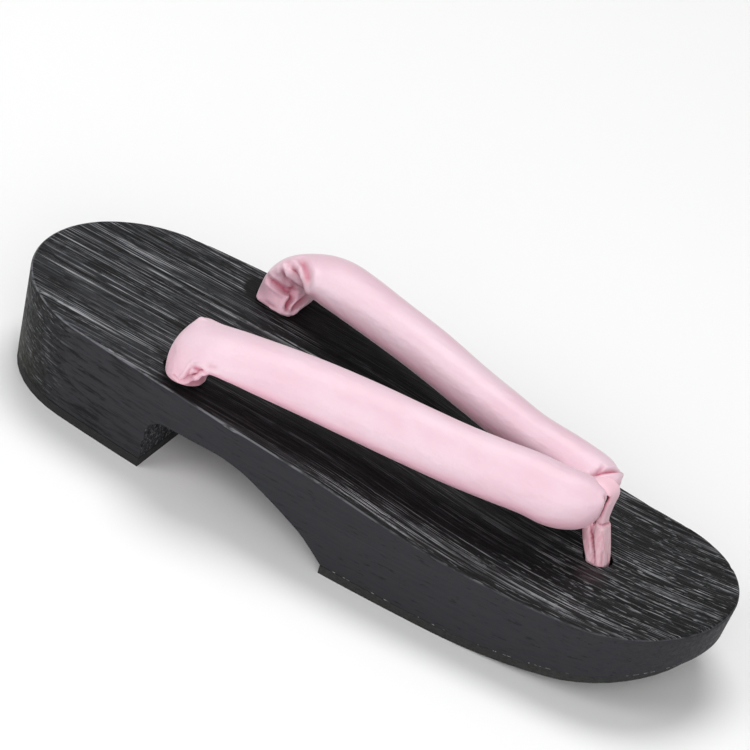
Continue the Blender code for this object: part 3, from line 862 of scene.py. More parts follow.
# %% The strap's stations
ArmStation = namedtuple("ArmStation", "x y rise heading turn roll half_width half_height pinch")
NEAR_ARM = [
    ArmStation(74.7, 3.8, 18.3, 20, 0, 4.9, 1, 2.1, 0),
    ArmStation(74.6, 4.1, 19.5, 20, 0, 22.1, 2.6, 4.7, 0),
    ArmStation(71.3, 5.1, 18.9, 18, 0, 23.1, 6.7, 7.1, 0),
    ArmStation(66, 6.8, 18.3, 16, 0, 28, 9, 8.6, 0),
    ArmStation(60.1, 9, 18.3, 14, 0, 33.3, 9.9, 8.4, 0),
    ArmStation(54, 10.2, 18.6, 13, 0, 36.3, 9.9, 7.9, 0),
    ArmStation(42, 12.6, 17.7, 13, 0, 36.7, 9.9, 7.4, 0),
    ArmStation(30, 15.5, 16.8, 13, 0, 34, 9.9, 7.6, 0),
    ArmStation(18, 18.2, 16.2, 13, 0, 31.3, 10, 7.6, 0),
    ArmStation(0, 22.3, 15.6, 13, 0, 23.9, 10.2, 7.7, 0),
    ArmStation(-18, 26.2, 15.4, 13, 0, 12.7, 10.3, 7.5, 0),
    ArmStation(-30.1, 28.7, 15, 13, 0, 7.9, 10.4, 7.1, 0.1),
    ArmStation(-39.2, 30.9, 14.9, 15, 0, 5.7, 11.2, 6.1, 0.3),
    ArmStation(-45.7, 32.5, 14.4, 16, 10, 5.3, 12, 5.5, 0.5),
    ArmStation(-50.2, 33.1, 12.4, 17, 36, 15.7, 13.2, 5.4, 0.6),
    ArmStation(-52.3, 32.8, 9.4, 17, 60, 8.1, 12.3, 5.7, 0.5),
    ArmStation(-53.1, 32.1, 6.3, 16, 80, 4.5, 11.2, 5.7, 0.3),
    ArmStation(-52.8, 31, 3.5, 14, 90, 2.4, 9.4, 6.1, -0.1),
    ArmStation(-52.6, 29.7, 1.0, 8, 90, 5.4, 8, 6.4, -0.45),
    ArmStation(-54.4, 28.9, 0.5, 4, 96, 0, 4.2, 4, 0),
    ArmStation(-53.5, 28.5, -1.2, 0, 132, 0, 3, 3, 0),
    ArmStation(-49.4, 28.5, -5.8, 0, 132, 0, 2.6, 2.6, 0),
    ArmStation(-45.8, 28.5, -9.8, 0, 132, 0, 2.6, 2.6, 0),
]
FAR_ARM = [
    ArmStation(73.4, 3.2, 18.3, 20, 0, 4.9, 1, 2.1, 0),
    ArmStation(73.3, 3.5, 19.7, 20, 0, 22.1, 2.3, 4.6, 0),
    ArmStation(70.2, 4.8, 19, 18, 0, 23.1, 6.4, 7, 0),
    ArmStation(66, 6.8, 18.3, 16, 0, 28, 9, 8.6, 0),
    ArmStation(60.1, 9, 18.3, 14, 0, 33.3, 9.9, 8.4, 0),
    ArmStation(54, 10.2, 18.6, 13, 0, 36.3, 9.9, 7.9, 0),
    ArmStation(42, 12.6, 17.7, 13, 0, 36.7, 9.9, 7.4, 0),
    ArmStation(30, 15.5, 16.8, 13, 0, 34, 9.9, 7.6, 0),
    ArmStation(18, 18.2, 16.2, 13, 0, 30.9, 9.9, 7.6, 0),
    ArmStation(0, 22.3, 15.7, 13, 0, 21.9, 10, 7.8, 0),
    ArmStation(-18, 26.1, 15.3, 13, 0, 12.3, 10.2, 7.7, 0),
    ArmStation(-30.1, 28.8, 15, 13, 0, 4.7, 10.8, 7.6, 0.1),
    ArmStation(-39.3, 31.1, 14.4, 15, 0, 7, 12, 7.3, 0.3),
    ArmStation(-45.3, 32.9, 13.9, 16, 10, 12.2, 12.7, 5.6, 0.5),
    ArmStation(-49.8, 33, 11.9, 17, 36, 12.6, 13.1, 4.9, 0.6),
    ArmStation(-52.2, 32.9, 9.3, 17, 60, 5.1, 12.3, 5.4, 0.5),
    ArmStation(-53.2, 32.3, 6.3, 16, 80, 0.6, 11.1, 5.9, 0.1),
    ArmStation(-53, 31.2, 3.3, 14, 90, -2.3, 9.6, 6.5, -0.5),
    ArmStation(-52.6, 30.1, 0.3, 8, 90, -8, 8.9, 7.2, -1),
    ArmStation(-54.4, 28.9, 0.5, 4, 96, 0, 4.2, 4, 0),
    ArmStation(-53.5, 28.5, -1.2, 0, 132, 0, 3, 3, 0),
    ArmStation(-49.4, 28.5, -5.8, 0, 132, 0, 2.6, 2.6, 0),
    ArmStation(-45.8, 28.5, -9.8, 0, 132, 0, 2.6, 2.6, 0),
]
print("stations:", len(NEAR_ARM), "for the near arm and", len(FAR_ARM), "for the far one")

# %% Where the strap is held
ARM_AROUND = 48
ARM_STEP = 1.3  # between rings
THINNEST = 1.0
REAR_KNOT, REAR_KNOT_HEIGHT = (6.6, 6.6, 3.7), 20.8
JOINT_FROM, JOINT_FADE = 58, 8
GATHER_FROM, GATHER_TOP, GATHER_FADE = 40, 46, 6


def held_share(points):
    """How firmly each point is held: fully at the joint and the gathered ends, not at all along the arms."""
    front = np.clip((points[:, 0] - JOINT_FROM) / JOINT_FADE, 0, 1)
    rear = np.clip((-points[:, 0] - GATHER_FROM) / GATHER_FADE, 0, 1)
    rear = rear * np.clip((GATHER_TOP - points[:, 2]) / GATHER_FADE, 0, 1)
    return np.maximum(front, rear)


# %% Rings along an arm
def arm_rings(side, slimmer=0.0):
    """Oval rings along one arm, from its tip under the loop to the knot. Side is 1 for the far arm."""
    stations = FAR_ARM if side > 0 else NEAR_ARM
    table = np.array(stations, float)
    centres = np.array([(s.x, s.y, top_height(s.x) + s.rise) for s in stations])
    run = np.r_[0, np.cumsum(np.linalg.norm(np.diff(centres, axis=0), axis=1))]
    wanted = np.linspace(0, run[-1], int(run[-1] / ARM_STEP) + 1)
    rows = smooth_columns(run, table, wanted)
    middles = smooth_columns(run, centres, wanted)
    rings = []
    for row, middle in zip(rows, middles):
        station = ArmStation(*row)
        room = slimmer * (1 - held_share(middle[None])[0])
        heading, turn, roll = (math.radians(a) for a in (station.heading, station.turn, station.roll))
        along = np.array([-math.cos(heading), side * math.sin(heading), 0.0])
        across = np.array([math.sin(heading), side * math.cos(heading), 0.0])
        outward = np.array([0.0, 0.0, 1.0]) * math.cos(turn) + along * math.sin(turn)
        wide = across * math.cos(roll) - outward * math.sin(roll)
        thick = across * math.sin(roll) + outward * math.cos(roll)
        ring = []
        for angle in np.linspace(0, 2 * math.pi, ARM_AROUND, endpoint=False):
            corner = (math.cos(angle) ** 4 + math.sin(angle) ** 4) ** -0.25
            full = 1 + max(0, -station.pinch) * (corner - 1)
            width = max(THINNEST, station.half_width - room) * math.cos(angle) * full
            height = max(THINNEST, station.half_height - room) * math.sin(angle) * full
            height *= abs(math.sin(angle)) ** max(0, station.pinch)
            ring.append(middle * (1, side, 1) + width * wide + height * thick)
        rings.append(ring)
    return rings


# %% Lofting and joining
def lofted(name, rings):
    """A closed skin over rings of points."""
    count = len(rings[0])
    points = [tuple(point) for ring in rings for point in ring]
    faces = [tuple(range(count)), tuple(range((len(rings) - 1) * count, len(rings) * count))[::-1]]
    for r in range(len(rings) - 1):
        for i in range(count):
            j = (i + 1) % count
            faces.append((r * count + i, (r + 1) * count + i, (r + 1) * count + j, r * count + j))
    piece = new_piece(name, points, faces)
    face_outward(piece)
    return piece


def joined(name, pieces):
    """Several pieces as one mesh object."""
    shape = bmesh.new()
    for piece in pieces:
        shape.from_mesh(piece.data)
    mesh = bpy.data.meshes.new(name)
    shape.to_mesh(mesh)
    shape.free()
    for piece in pieces:
        bpy.data.objects.remove(piece)
    whole = bpy.data.objects.new(name, mesh)
    bpy.context.scene.collection.objects.link(whole)
    return whole


# %% One skin from several shells
RELAX_STRENGTH = 0.5


def one_skin(piece, voxel, smoothing):
    """Remeshes overlapping shells into one even skin, then relaxes it."""
    modifier = piece.modifiers.new("remesh", "REMESH")
    modifier.mode, modifier.voxel_size, modifier.use_smooth_shade = "VOXEL", voxel * MM, True
    relax = piece.modifiers.new("relax", "SMOOTH")
    relax.factor, relax.iterations = RELAX_STRENGTH, smoothing
    return bake(piece)


def ball(x, y, height, radii):
    shape = bmesh.new()
    place = Matrix.Translation(Vector((x, y, height)) * MM) @ Matrix.Diagonal((*[r * MM for r in radii], 1.0))
    bmesh.ops.create_uvsphere(shape, u_segments=32, v_segments=16, radius=1.0, matrix=place)
    mesh = bpy.data.meshes.new("ball")
    shape.to_mesh(mesh)
    shape.free()
    piece = bpy.data.objects.new("ball", mesh)
    bpy.context.scene.collection.objects.link(piece)
    return piece


# %% The strap's skin
STRAP_VOXEL, STRAP_SMOOTHING = 1.0, 5
PUFF_ROOM = 0.2  # the skin starts this much slimmer, and the filling gives a little back

parts = [lofted("arm", arm_rings(side, PUFF_ROOM)) for side in (1, -1)] + [
    ball(REAR_POCKET_X, side * REAR_HOLE_Y, REAR_KNOT_HEIGHT, REAR_KNOT) for side in (1, -1)
]
strap = one_skin(joined("padded_strap", parts), STRAP_VOXEL, STRAP_SMOOTHING)
strap.data.materials.clear()
strap.data.materials.append(satin)
print("strap skin:", len(strap.data.vertices), "points")

# %% [markdown]
# ### Filling the strap
# Wadding pushes the satin out until it is tight. A short cloth simulation does the same: pressure inside,
# no weight, the gathered ends and the joint under the loop held. The stations already give the full shape,
# and the satin is stiff here, so it moves by about a tenth of a millimetre at most, as the print shows. The
# limit only guards the outline measured from the photo.

# %% Puffing the skin
PUFF_PRESSURE = 4.0
PUFF_FRAMES = 20
PUFF_LIMIT = 0.9
CLOTH_QUALITY, CLOTH_MASS = 5, 0.0002
CLOTH_STIFFNESS, CLOTH_BENDING = 4.0, 0.05


def puffed(piece, limit):
    start = positions(piece)
    group = piece.vertex_groups.new(name="held")
    for i, share in enumerate(held_share(start)):
        if share > 0:
            group.add([i], float(share), "REPLACE")
    modifier = piece.modifiers.new("puff", "CLOTH")
    cloth = modifier.settings
    cloth.quality, cloth.mass = CLOTH_QUALITY, CLOTH_MASS
    cloth.tension_stiffness = cloth.compression_stiffness = cloth.shear_stiffness = CLOTH_STIFFNESS
    cloth.bending_stiffness = CLOTH_BENDING
    cloth.use_pressure, cloth.uniform_pressure_force = True, PUFF_PRESSURE
    cloth.effector_weights.gravity = 0
    cloth.vertex_group_mass = group.name
    modifier.point_cache.frame_start, modifier.point_cache.frame_end = 1, PUFF_FRAMES
    for step in range(1, PUFF_FRAMES + 1):
        bpy.context.scene.frame_set(step)
    bake(piece)
    bpy.context.scene.frame_set(1)
    piece.vertex_groups.clear()
    moved = positions(piece) - start
    length = np.linalg.norm(moved, axis=1)
    print("puffed by up to", round(float(length.max()), 2), "mm, on average", round(float(length.mean()), 3))
    move_points(piece, start + moved * np.minimum(1, limit / np.maximum(length, 1e-6))[:, None])


puffed(strap, PUFF_LIMIT)
finer = strap.modifiers.new("finer", "SUBSURF")
finer.levels = finer.render_levels = 1
bake(strap)
print("strap after filling:", len(strap.data.vertices), "points")

# %% [markdown]
# ### Creases
# Where the tube is bent down and stuffed into its hole, the satin folds over itself. Each fold is placed as a
# line on the skin, in the sandal's own millimetres, read from the photo. The skin is pressed down along the
# line and rises a little beside it. How deep a point lies in a fold is stored on the mesh, and the finish
# paints shade there: a deeper rose pink, nearly black in a narrow slit.

# %% Folds placed one by one
# A fold's tone is how much painted shade it puts into the cloth's colour.
Fold = namedtuple("Fold", "reach depth ridge tone line")
NEAR_SLIT = [(74.6, -5.2, 48.8), (74.4, -4.6, 46.2), (73.7, -4.2, 43.6), (72.9, -3.9, 41.2), (72.0, -3.4, 39.2)]
FAR_VALLEY = [(-50.9, 22.7, 50.3), (-50.2, 22.2, 50.0), (-48.0, 21.5, 48.2), (-46.0, 21.7, 46.8), (-44.6, 22.4, 45.4),
              (-44.0, 23.0, 44.2)]
STRAP_FOLDS = [
    Fold(2.4, 1.3, 0.0, 0.0, NEAR_SLIT),
    # far end
    Fold(1.3, 1.2, 0.4, 0.75, [(-50.3, 26.8, 51.4), (-47.3, 23.9, 51.6), (-44.9, 21.5, 50.7), (-43.2, 19.9, 48.7)]),
    Fold(1.3, 1.9, 0.45, 1.0, FAR_VALLEY),
    Fold(2.6, 0.0, 0.0, 0.35, FAR_VALLEY),
    Fold(0.9, 1.2, 0.5, 0.85, [(-56.6, 21.9, 42.6), (-54.1, 22.6, 41.8), (-51.9, 24.4, 40.4), (-50.1, 26.2, 39.1),
                               (-49.2, 27.5, 39.0)]),
    Fold(0.7, 1.6, 0.5, 1.05, [(-49.3, 27.5, 39.0), (-49.1, 26.3, 37.6), (-49.0, 24.4, 36.0), (-48.6, 23.3, 34.3)]),
    Fold(0.7, 1.3, 0.5, 0.9, [(-46.7, 32.6, 37.0), (-46.8, 29.6, 36.4), (-47.2, 26.5, 35.6), (-47.6, 24.3, 34.4)]),
    Fold(0.8, 0.8, 0.4, 0.5, [(-53.1, 21.7, 48.0), (-52.2, 22.6, 45.8), (-51.2, 25.1, 42.5)]),
    Fold(0.7, 0.4, 0.3, 0.4, [(-54.8, 21.8, 34.9), (-53.0, 21.6, 34.8), (-51.0, 21.8, 34.6)]),
    Fold(0.8, 0.5, 0.3, 0.3, [(-53.6, 25.3, 49.5), (-51.7, 22.8, 49.9), (-50.7, 21.7, 49.3)]),
    Fold(1.7, 1.0, 0.0, 0.8, [(-48.8, 25.6, 41.0), (-49.2, 27.0, 39.6)]),
    Fold(6.0, 0.0, 0.0, 0.14, [(-52.0, 24.0, 46.0), (-50.0, 26.0, 38.0)]),
    # near end
    Fold(0.7, 1.1, 0.5, 0.9, [(-46.2, -43.2, 45.6), (-44.5, -43.8, 45.8), (-43.1, -44.0, 45.9),
                              (-42.4, -43.5, 45.7)]),
    Fold(0.9, 1.6, 0.5, 1.25, [(-43.5, -44.0, 45.5), (-44.8, -44.2, 43.6), (-47.5, -41.7, 39.7), (-48.9, -40.9, 37.8),
                               (-50.8, -41.6, 38.2)]),
    Fold(0.6, 0.7, 0.4, 0.6, [(-46.7, -43.2, 45.3), (-46.7, -43.8, 43.9), (-47.0, -43.8, 41.8)]),
    Fold(0.9, 0.4, 0.2, 0.25, [(-42.0, -42.7, 48.1), (-40.7, -42.4, 48.3), (-39.4, -41.9, 48.4)]),
    Fold(2.2, 0.4, 0.0, 0.05, [(-57.2, -35.7, 42.7), (-54.6, -39.6, 42.3)]),
    Fold(2.8, 0.0, 0.0, 0.65, [(-49.5, -38.2, 36.5), (-46.4, -37.2, 36.5), (-46.0, -33.5, 36.5),
                               (-46.0, -30.0, 36.0)]),
    Fold(1.6, -0.8, 0.0, 0.0, [(-54.6, -25.6, 50.4), (-54.2, -27.6, 50.6)]),
    # front, where the far arm laps over the loop and the near arm ends
    Fold(0.7, 1.0, 0.3, 0.9, [(66.2, 0.3, 50.2), (67.0, 1.0, 50.7), (67.9, 2.1, 51.2), (69.5, 4.1, 51.8),
                              (70.8, 6.7, 51.6), (71.6, 8.6, 50.6)]),
    Fold(0.6, 0.5, 0.2, 0.5, [(67.5, 4.9, 52.4), (67.4, 2.8, 51.7), (66.9, 1.1, 50.7)]),
    Fold(1.3, -0.9, 0.0, 0.0, [(71.9, 8.2, 50.3), (72.6, 9.0, 49.9)]),
    Fold(2.0, 0.6, 0.0, 0.0, [(73.8, 7.6, 48.3), (73.8, 7.0, 46.3)]),
    Fold(0.7, 0.5, 0.3, 0.6, [(75.2, -6.8, 52.0), (74.6, -6.6, 50.2), (73.9, -6.9, 48.6)]),
]


print("folds on the strap:", len(STRAP_FOLDS))

# %% Pressing the folds in
LINE_STEP = 0.3
RIDGE_AWAY, RIDGE_SPREAD = 2, 0.8  # in reaches, from the line
TONE_NARROWER = 1.3
END_SHARE, END_STRENGTH = 0.2, 0.4  # a fold grows weaker over this share of its ends
DEEPEST = 2.2


def fold_line(tree, line):
    """The line as close-set points on the skin."""
    points = np.array(line, float)
    run = np.r_[0, np.cumsum(np.linalg.norm(np.diff(points, axis=0), axis=1))]
    wanted = np.linspace(0, run[-1], max(3, int(run[-1] / LINE_STEP)))
    if len(points) > 2:
        rows = smooth_columns(run, points, wanted)
    else:
        rows = np.stack([np.interp(wanted, run, column) for column in points.T], 1)
    return np.array([tree.find_nearest(Vector(row))[0] for row in rows])


def press_folds(piece, folds):
    points, facing = positions(piece), normals(piece)
    corners = [tuple(face.vertices) for face in piece.data.polygons]
    tree = BVHTree.FromPolygons([Vector(p) for p in points], corners)
    push, tone = np.zeros(len(points)), np.zeros(len(points))
    for fold in folds:
        line = fold_line(tree, fold.line)
        close = np.flatnonzero(np.abs(points - line.mean(0)).max(1) < np.ptp(line, axis=0).max() + 3 * fold.reach)
        gaps = np.linalg.norm(points[close][:, None] - line[None], axis=2)
        share = gaps.argmin(1) / (len(line) - 1)
        away = gaps.min(1) / fold.reach
        ends = np.clip(np.minimum(share, 1 - share) / END_SHARE, 0, 1) * (1 - END_STRENGTH) + END_STRENGTH
        ridge = fold.ridge * np.exp(-(((away - RIDGE_AWAY) / RIDGE_SPREAD) ** 2))
        push[close] += fold.depth * ends * (ridge - np.exp(-(away**2)))
        tone[close] = np.maximum(tone[close], fold.tone * ends * np.exp(-((away * TONE_NARROWER) ** 2)))
    move_points(piece, points + facing * np.maximum(push, -DEEPEST)[:, None])
    piece.data.attributes.new("fold", "FLOAT", "POINT").data.foreach_set("value", tone)
    return float(push.min())


print("deepest fold:", round(press_folds(strap, STRAP_FOLDS), 2), "mm")
strap.data.shade_smooth()

# %% [markdown]
# ## The front loop
# A narrow folded band goes round the strap where its arms meet and down through the front hole, where it
# is knotted underneath. It is flat cloth, so it is lofted directly from flat sections along its path.

# %% Front loop
LoopStation = namedtuple("LoopStation", "x height half_width half_thickness dip")
LOOP = [
    LoopStation(78.6, 12.0, 2.6, 1.4, 0), LoopStation(78.7, 22.0, 2.8, 1.4, 0), LoopStation(78.3, 25.8, 3.0, 1.5, 0),
    LoopStation(77.0, 30.0, 3.0, 1.5, 0), LoopStation(75.6, 34.0, 2.9, 1.4, 0), LoopStation(74.7, 36.6, 2.7, 1.3, 0),
    LoopStation(74.2, 38.6, 2.7, 1.3, 0), LoopStation(74.0, 41.4, 3.1, 1.4, 0), LoopStation(73.9, 44.6, 3.7, 1.6, 0),
    LoopStation(74.0, 47.6, 4.1, 1.7, 0.3), LoopStation(73.3, 49.7, 4.2, 1.6, 0.9),
    LoopStation(71.7, 50.7, 4.2, 1.5, 1.5),
    LoopStation(69.3, 50.4, 4.0, 1.5, 1.6), LoopStation(67.4, 48.8, 3.4, 1.5, 1.2),
    LoopStation(66.3, 46.2, 3.0, 1.5, 0.5),
    LoopStation(66.0, 43.0, 2.8, 1.5, 0), LoopStation(67.0, 40.2, 2.8, 1.5, 0), LoopStation(69.0, 38.2, 2.9, 1.6, 0),
    LoopStation(70.7, 36.4, 3.1, 1.8, 0), LoopStation(71.8, 34.2, 3.2, 2.0, 0), LoopStation(72.7, 31.8, 3.2, 2.0, 0),
    LoopStation(74.0, 28.8, 3.1, 1.8, 0), LoopStation(75.1, 25.8, 2.9, 1.5, 0), LoopStation(75.4, 22.0, 2.7, 1.5, 0),
    LoopStation(75.2, 12.0, 2.6, 1.4, 0),
]
# The band is turned back on itself below its neck, which leaves a step.
HEM = [
    LoopStation(78.8, 19.0, 3.1, 1.5, 0), LoopStation(78.5, 25.0, 3.3, 1.6, 0), LoopStation(77.1, 30.0, 3.4, 1.65, 0),
    LoopStation(75.7, 34.0, 3.4, 1.65, 0), LoopStation(74.7, 37.2, 3.3, 1.6, 0),
]
print("loop stations:", len(LOOP), "round the strap and", len(HEM), "in the hem")

# %% Rings along the loop
LOOP_AROUND = 40
LOOP_STEP = 0.8
FRONT_KNOT, FRONT_KNOT_HEIGHT = (7.0, 7.0, 3.4), 11.0


def band_rings(stations):
    path = np.array([(s.x, s.height) for s in stations])
    run = np.r_[0, np.cumsum(np.linalg.norm(np.diff(path, axis=0), axis=1))]
    wanted = np.linspace(0, run[-1], int(run[-1] / LOOP_STEP) + 1)
    rows = smooth_columns(run, np.array(stations, float), wanted)
    headings = np.gradient(rows[:, :2], wanted, axis=0)
    rings = []
    for (x, height, half_width, half_thickness, dip), (dx, dz) in zip(rows, headings):
        outward = np.array([dz, 0.0, -dx]) / math.hypot(dx, dz)
        ring = []
        for angle in np.linspace(0, 2 * math.pi, LOOP_AROUND, endpoint=False):
            across, through = math.cos(angle), math.sin(angle)
            fullness = (across**4 + through**4) ** -0.25
            offset = half_width * across * np.array([0, 1, 0]) + half_thickness * through * outward
            point = np.array([x, 0, height]) + fullness * offset
            ring.append(point - (0, 0, dip * (point[1] + half_width) / (2 * half_width)))
        rings.append(ring)
    return rings


# %% The loop in one skin, with its folds
LOOP_VOXEL, LOOP_SMOOTHING = 0.42, 3
LOOP_FOLDS = [
    Fold(0.45, 0.9, 0.2, 1.0, [(72.6, -3.3, 37.6), (73.4, -3.3, 35.0), (74.6, -3.3, 31.8), (76.0, -3.3, 28.2),
                               (76.8, -3.2, 25.6)]),
    Fold(0.5, 0.35, 0.3, 0.8, [(73.6, -3.4, 38.6), (74.9, -2.0, 38.4), (76.0, 1.5, 37.9), (75.9, 3.2, 37.6)]),
    Fold(0.5, 0.3, 0.3, 0.5, [(78.6, -3.2, 30.5), (79.3, -2.6, 26.0)]),
    Fold(0.5, 0.25, 0.3, 0.4, [(79.6, 0.4, 29.5), (80.3, 0.4, 25.5)]),
    Fold(2.5, 0.0, 0.0, 0.45, [(70.0, -3.0, 35.5), (71.8, -3.2, 31.0)]),
]
loop_parts = [lofted("band", band_rings(LOOP)), lofted("hem", band_rings(HEM))]
loop_parts.append(ball(FRONT_HOLE_X, 0, FRONT_KNOT_HEIGHT, FRONT_KNOT))
loop = one_skin(joined("cloth_loop", loop_parts), LOOP_VOXEL, LOOP_SMOOTHING)
loop.data.materials.clear()
loop.data.materials.append(band)
press_folds(loop, LOOP_FOLDS)
loop.data.shade_smooth()
print("loop skin:", len(loop.data.vertices), "points")


# %% The dark slit where strap and loop touch
TOUCH_REACH, TOUCH_TONE = 0.9, 2.2
SLIT_FROM_X, SLIT_HEIGHTS = 69, (38.5, 49.5)


def shade_touch(piece, other):
    """Deepens the fold tone where two pieces touch in the slit under the near arm's end."""
    corners = [tuple(face.vertices) for face in other.data.polygons]
    tree = BVHTree.FromPolygons([Vector(p) for p in positions(other)], corners)
    points, layer = positions(piece), piece.data.attributes["fold"].data
    tones = np.empty(len(points), np.float32)
    layer.foreach_get("value", tones)
    x, y, z = points.T
    in_slit = np.flatnonzero((x > SLIT_FROM_X) & (y < 0) & (z > SLIT_HEIGHTS[0]) & (z < SLIT_HEIGHTS[1]))
    for i in in_slit:
        gap = tree.find_nearest(Vector(points[i]))[3]
        tones[i] = max(tones[i], TOUCH_TONE * math.exp(-((gap / TOUCH_REACH) ** 2)))
    layer.foreach_set("value", tones)
    return len(in_slit)


print("points looked at in the slit:", shade_touch(strap, loop), "and", shade_touch(loop, strap))

# %% Riding and replacing
for piece, solid, slot_name in ((strap, "strap", "strap_satin"), (loop, "front_loop", "loop_fabric")):
    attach(piece, "root")
    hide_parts(solid)

# %% [markdown]
# ## Glue along the rubber
# Where the forefoot rubber is stuck on, glue has squeezed out and been wiped off, and it has dried in short
# pale crumbs along the joint. They follow the joint's line, so Geometry Nodes lay them: a path is resampled,
# a small lump stands on each point, turned along the path and scaled at random, and most are left out.

# %% Dried glue
GLUE_PALE = "#93928e"
GLUE_GRIMY = "#5f5e5b"


def dried_glue():
    """Clear glue gone pale and a little grimy. It gives the eye a broken light line along the joint."""
    material, tree, shader = new_finish("dried_glue", 1.48, 0.6)
    grime = node(tree, "speckle", millimetres(tree), 0.8, 2.0)
    colour = node(tree, "tint", node(tree, "fade", grime, 0.35, 0.65), screen_colour(GLUE_GRIMY),
                  screen_colour(GLUE_PALE))
    tree.links.new(colour, shader.inputs["Base Color"])
    return material


# %% The joint's line
TOE_MIDDLE_X = 60  # the joint is put in order round this point


def joint_path():
    """The outer line of the joint between wood and forefoot rubber, from the near rear corner round the toe."""
    points = []
    for (x0, y0), (x1, y1) in zip(outline(WALL_LEAN), outline(0.0)):
        if x0 > FOREFOOT_REAR_X:
            z = spring_height(x1, WOOD_BOTTOM)
            share = (z + BLOCK_BELOW) / (top_height(x1) - EASED_EDGE + BLOCK_BELOW)
            points.append((x0 + (x1 - x0) * share, y0 + (y1 - y0) * share, z))
    points.sort(key=lambda p: math.atan2(p[1], p[0] - TOE_MIDDLE_X))
    mesh = bpy.data.meshes.new("glue_crumbs")
    mesh.from_pydata([tuple(c * MM for c in p) for p in points], [(i, i + 1) for i in range(len(points) - 1)], [])
    piece = bpy.data.objects.new("glue_crumbs", mesh)
    bpy.context.scene.collection.objects.link(piece)
    return piece


glue = joint_path()
print("the joint's line has", len(glue.data.vertices), "points")

# %% Kinds of node that lay the crumbs
INSTANCE_SOCKETS = ("Points", "Selection", "Instance", "Rotation", "Scale")
KINDS.update({
    "given": NodeKind("NodeGroupInput", (), None, {}),
    "line": NodeKind("GeometryNodeMeshToCurve", (0,), 0, {}),
    "dots": NodeKind("GeometryNodeResampleCurve", ("Curve", "Length"), 0, {"mode": "LENGTH"}),
    "tangent": NodeKind("GeometryNodeInputTangent", (), 0, {}),
    "turned": NodeKind("FunctionNodeAlignRotationToVector", ("Vector",), 0, {"axis": "X"}),
    "ball": NodeKind("GeometryNodeMeshIcoSphere", ("Radius", "Subdivisions"), 0, {}),
    "chance": NodeKind("FunctionNodeRandomValue", ("Probability", "Seed"), 3, {"data_type": "BOOLEAN"}),
    "varied": NodeKind("FunctionNodeRandomValue", ("Min", "Max", "Seed"), "Value", {"data_type": "FLOAT_VECTOR"}),
    "sizes": NodeKind("ShaderNodeCombineXYZ", ("X", "Y", "Z"), 0, {}),
    "times": NodeKind("ShaderNodeVectorMath", (0, 1), 0, {"operation": "MULTIPLY"}),
    "placed": NodeKind("GeometryNodeInstanceOnPoints", INSTANCE_SOCKETS, 0, {}),
    "realized": NodeKind("GeometryNodeRealizeInstances", (0,), 0, {}),
    "painted": NodeKind("GeometryNodeSetMaterial", ("Geometry", "Material"), 0, {}),
    "result": NodeKind("NodeGroupOutput", (0,), None, {}),
})
print("kinds of node in all:", len(KINDS))

# %% Glue crumbs by Geometry Nodes
CRUMB_INPUTS = {"Spacing": 0.7 * MM, "Length": 0.42 * MM, "Thickness": 0.09 * MM, "Kept": 0.2, "Seed": 7}
CRUMB_LEAST, CRUMB_MOST = (0.3, 0.6, 0.5), (1.8, 1.3, 1.6)  # random scale along, across and up


def crumb_tree(material):
    """The tree that lays lumps along a path, and the identifier of each of its named inputs."""
    tree = bpy.data.node_groups.new("glue_crumbs", "GeometryNodeTree")
    tree.interface.new_socket("Path", in_out="INPUT", socket_type="NodeSocketGeometry")
    sockets = {}
    for name, value in CRUMB_INPUTS.items():
        kind = "NodeSocketInt" if isinstance(value, int) else "NodeSocketFloat"
        sockets[name] = tree.interface.new_socket(name, in_out="INPUT", socket_type=kind).identifier
    tree.interface.new_socket("Crumbs", in_out="OUTPUT", socket_type="NodeSocketGeometry")
    given = node(tree, "given")
    dots = node(tree, "dots", node(tree, "line", given["Path"]), given["Spacing"])
    turned = node(tree, "turned", node(tree, "tangent"))
    lump = node(tree, "ball", 1.0, 2)
    kept = node(tree, "chance", given["Kept"], given["Seed"])
    stretch = node(tree, "varied", CRUMB_LEAST, CRUMB_MOST, given["Seed"])
    size = node(tree, "sizes", given["Length"], given["Thickness"], given["Thickness"])
    scale = node(tree, "times", stretch, size)
    solid = node(tree, "realized", node(tree, "placed", dots, kept, lump, turned, scale))
    node(tree, "result", node(tree, "painted", solid, material))
    return tree, sockets


crumbs, sockets = crumb_tree(dried_glue())
layer = glue.modifiers.new("crumbs", "NODES")
layer.node_group = crumbs
for name, value in CRUMB_INPUTS.items():
    layer[sockets[name]] = value
bake(glue)
glue.data.shade_smooth()
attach(glue, "root")
print("glue crumbs:", len(glue.data.vertices), "points")

# %% [markdown]
# ## Floor and light
# The photo is a cut-out on white. A pale floor stands in for it, with one large soft light from behind and
# above, a second one from the camera's side, a little towards the toe, a third from behind the heel's near
# side, which opens up the gathered ends, and a small one in front of the toe for the loop.

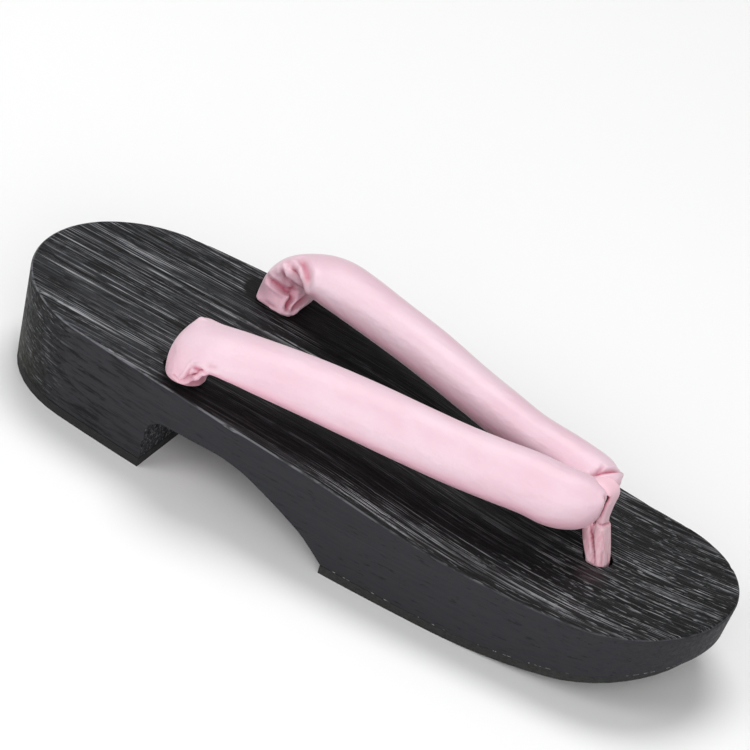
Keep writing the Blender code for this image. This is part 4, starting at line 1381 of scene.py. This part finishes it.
# %% Floor
FLOOR_PALE = "#f1f1f1"
FLOOR_PALER = "#f4f4f4"
FLOOR_REACH = 4000
MOTTLE_CELLS = (0.002, 0.002, 0.002)


def pale_floor():
    """Matt pale board, with a mottle too weak and wide to notice. It catches the sandal's soft shadow."""
    material, tree, shader = new_finish("pale_floor", 1.45, 0.9)
    mottle = node(tree, "speckle", millimetres(tree, MOTTLE_CELLS), 1.0, 2.0)
    colour = node(tree, "tint", mottle, screen_colour(FLOOR_PALE), screen_colour(FLOOR_PALER))
    tree.links.new(colour, shader.inputs["Base Color"])
    corners = [(x * FLOOR_REACH, y * FLOOR_REACH, 0) for x, y in ((-1, -1), (1, -1), (1, 1), (-1, 1))]
    floor = new_piece("floor", corners, [(0, 1, 2, 3)], material)
    return floor


floor = pale_floor()
print("floor reaches", FLOOR_REACH, "mm each way")

# %% Lights
Lamp = namedtuple("Lamp", "name place aim size power")
LAMPS = [
    Lamp("key_light", (-0.25, 0.45, 1.4), (0, 0, 0.03), 0.8, 11.5),
    Lamp("fill_light", (0.55, -1.15, 0.7), (0, 0, 0.03), 1.1, 9.0),
    Lamp("end_light", (-0.75, -0.85, 0.75), (-0.05, 0, 0.04), 0.9, 5.5),
    Lamp("toe_light", (1.1, -0.55, 0.45), (0.08, 0, 0.03), 0.5, 1.7),
]
SKY_STRENGTH = 0.32


def soft_light(lamp):
    light = bpy.data.lights.new(lamp.name, "AREA")
    light.shape, light.size, light.energy = "DISK", lamp.size, lamp.power
    stand = bpy.data.objects.new(lamp.name, light)
    stand.location = lamp.place
    stand.rotation_euler = (Vector(lamp.aim) - Vector(lamp.place)).to_track_quat("-Z", "Y").to_euler()
    bpy.context.scene.collection.objects.link(stand)


for lamp in LAMPS:
    soft_light(lamp)
world = bpy.data.worlds.new("studio")
world.use_nodes = True
sky = world.node_tree.nodes["Background"].inputs
sky["Color"].default_value, sky["Strength"].default_value = (1, 1, 1, 1), SKY_STRENGTH
bpy.context.scene.world = world
bpy.context.scene.view_settings.view_transform = "Standard"  # plain screen colours, as in the photo
print("lights:", [lamp.name for lamp in LAMPS])
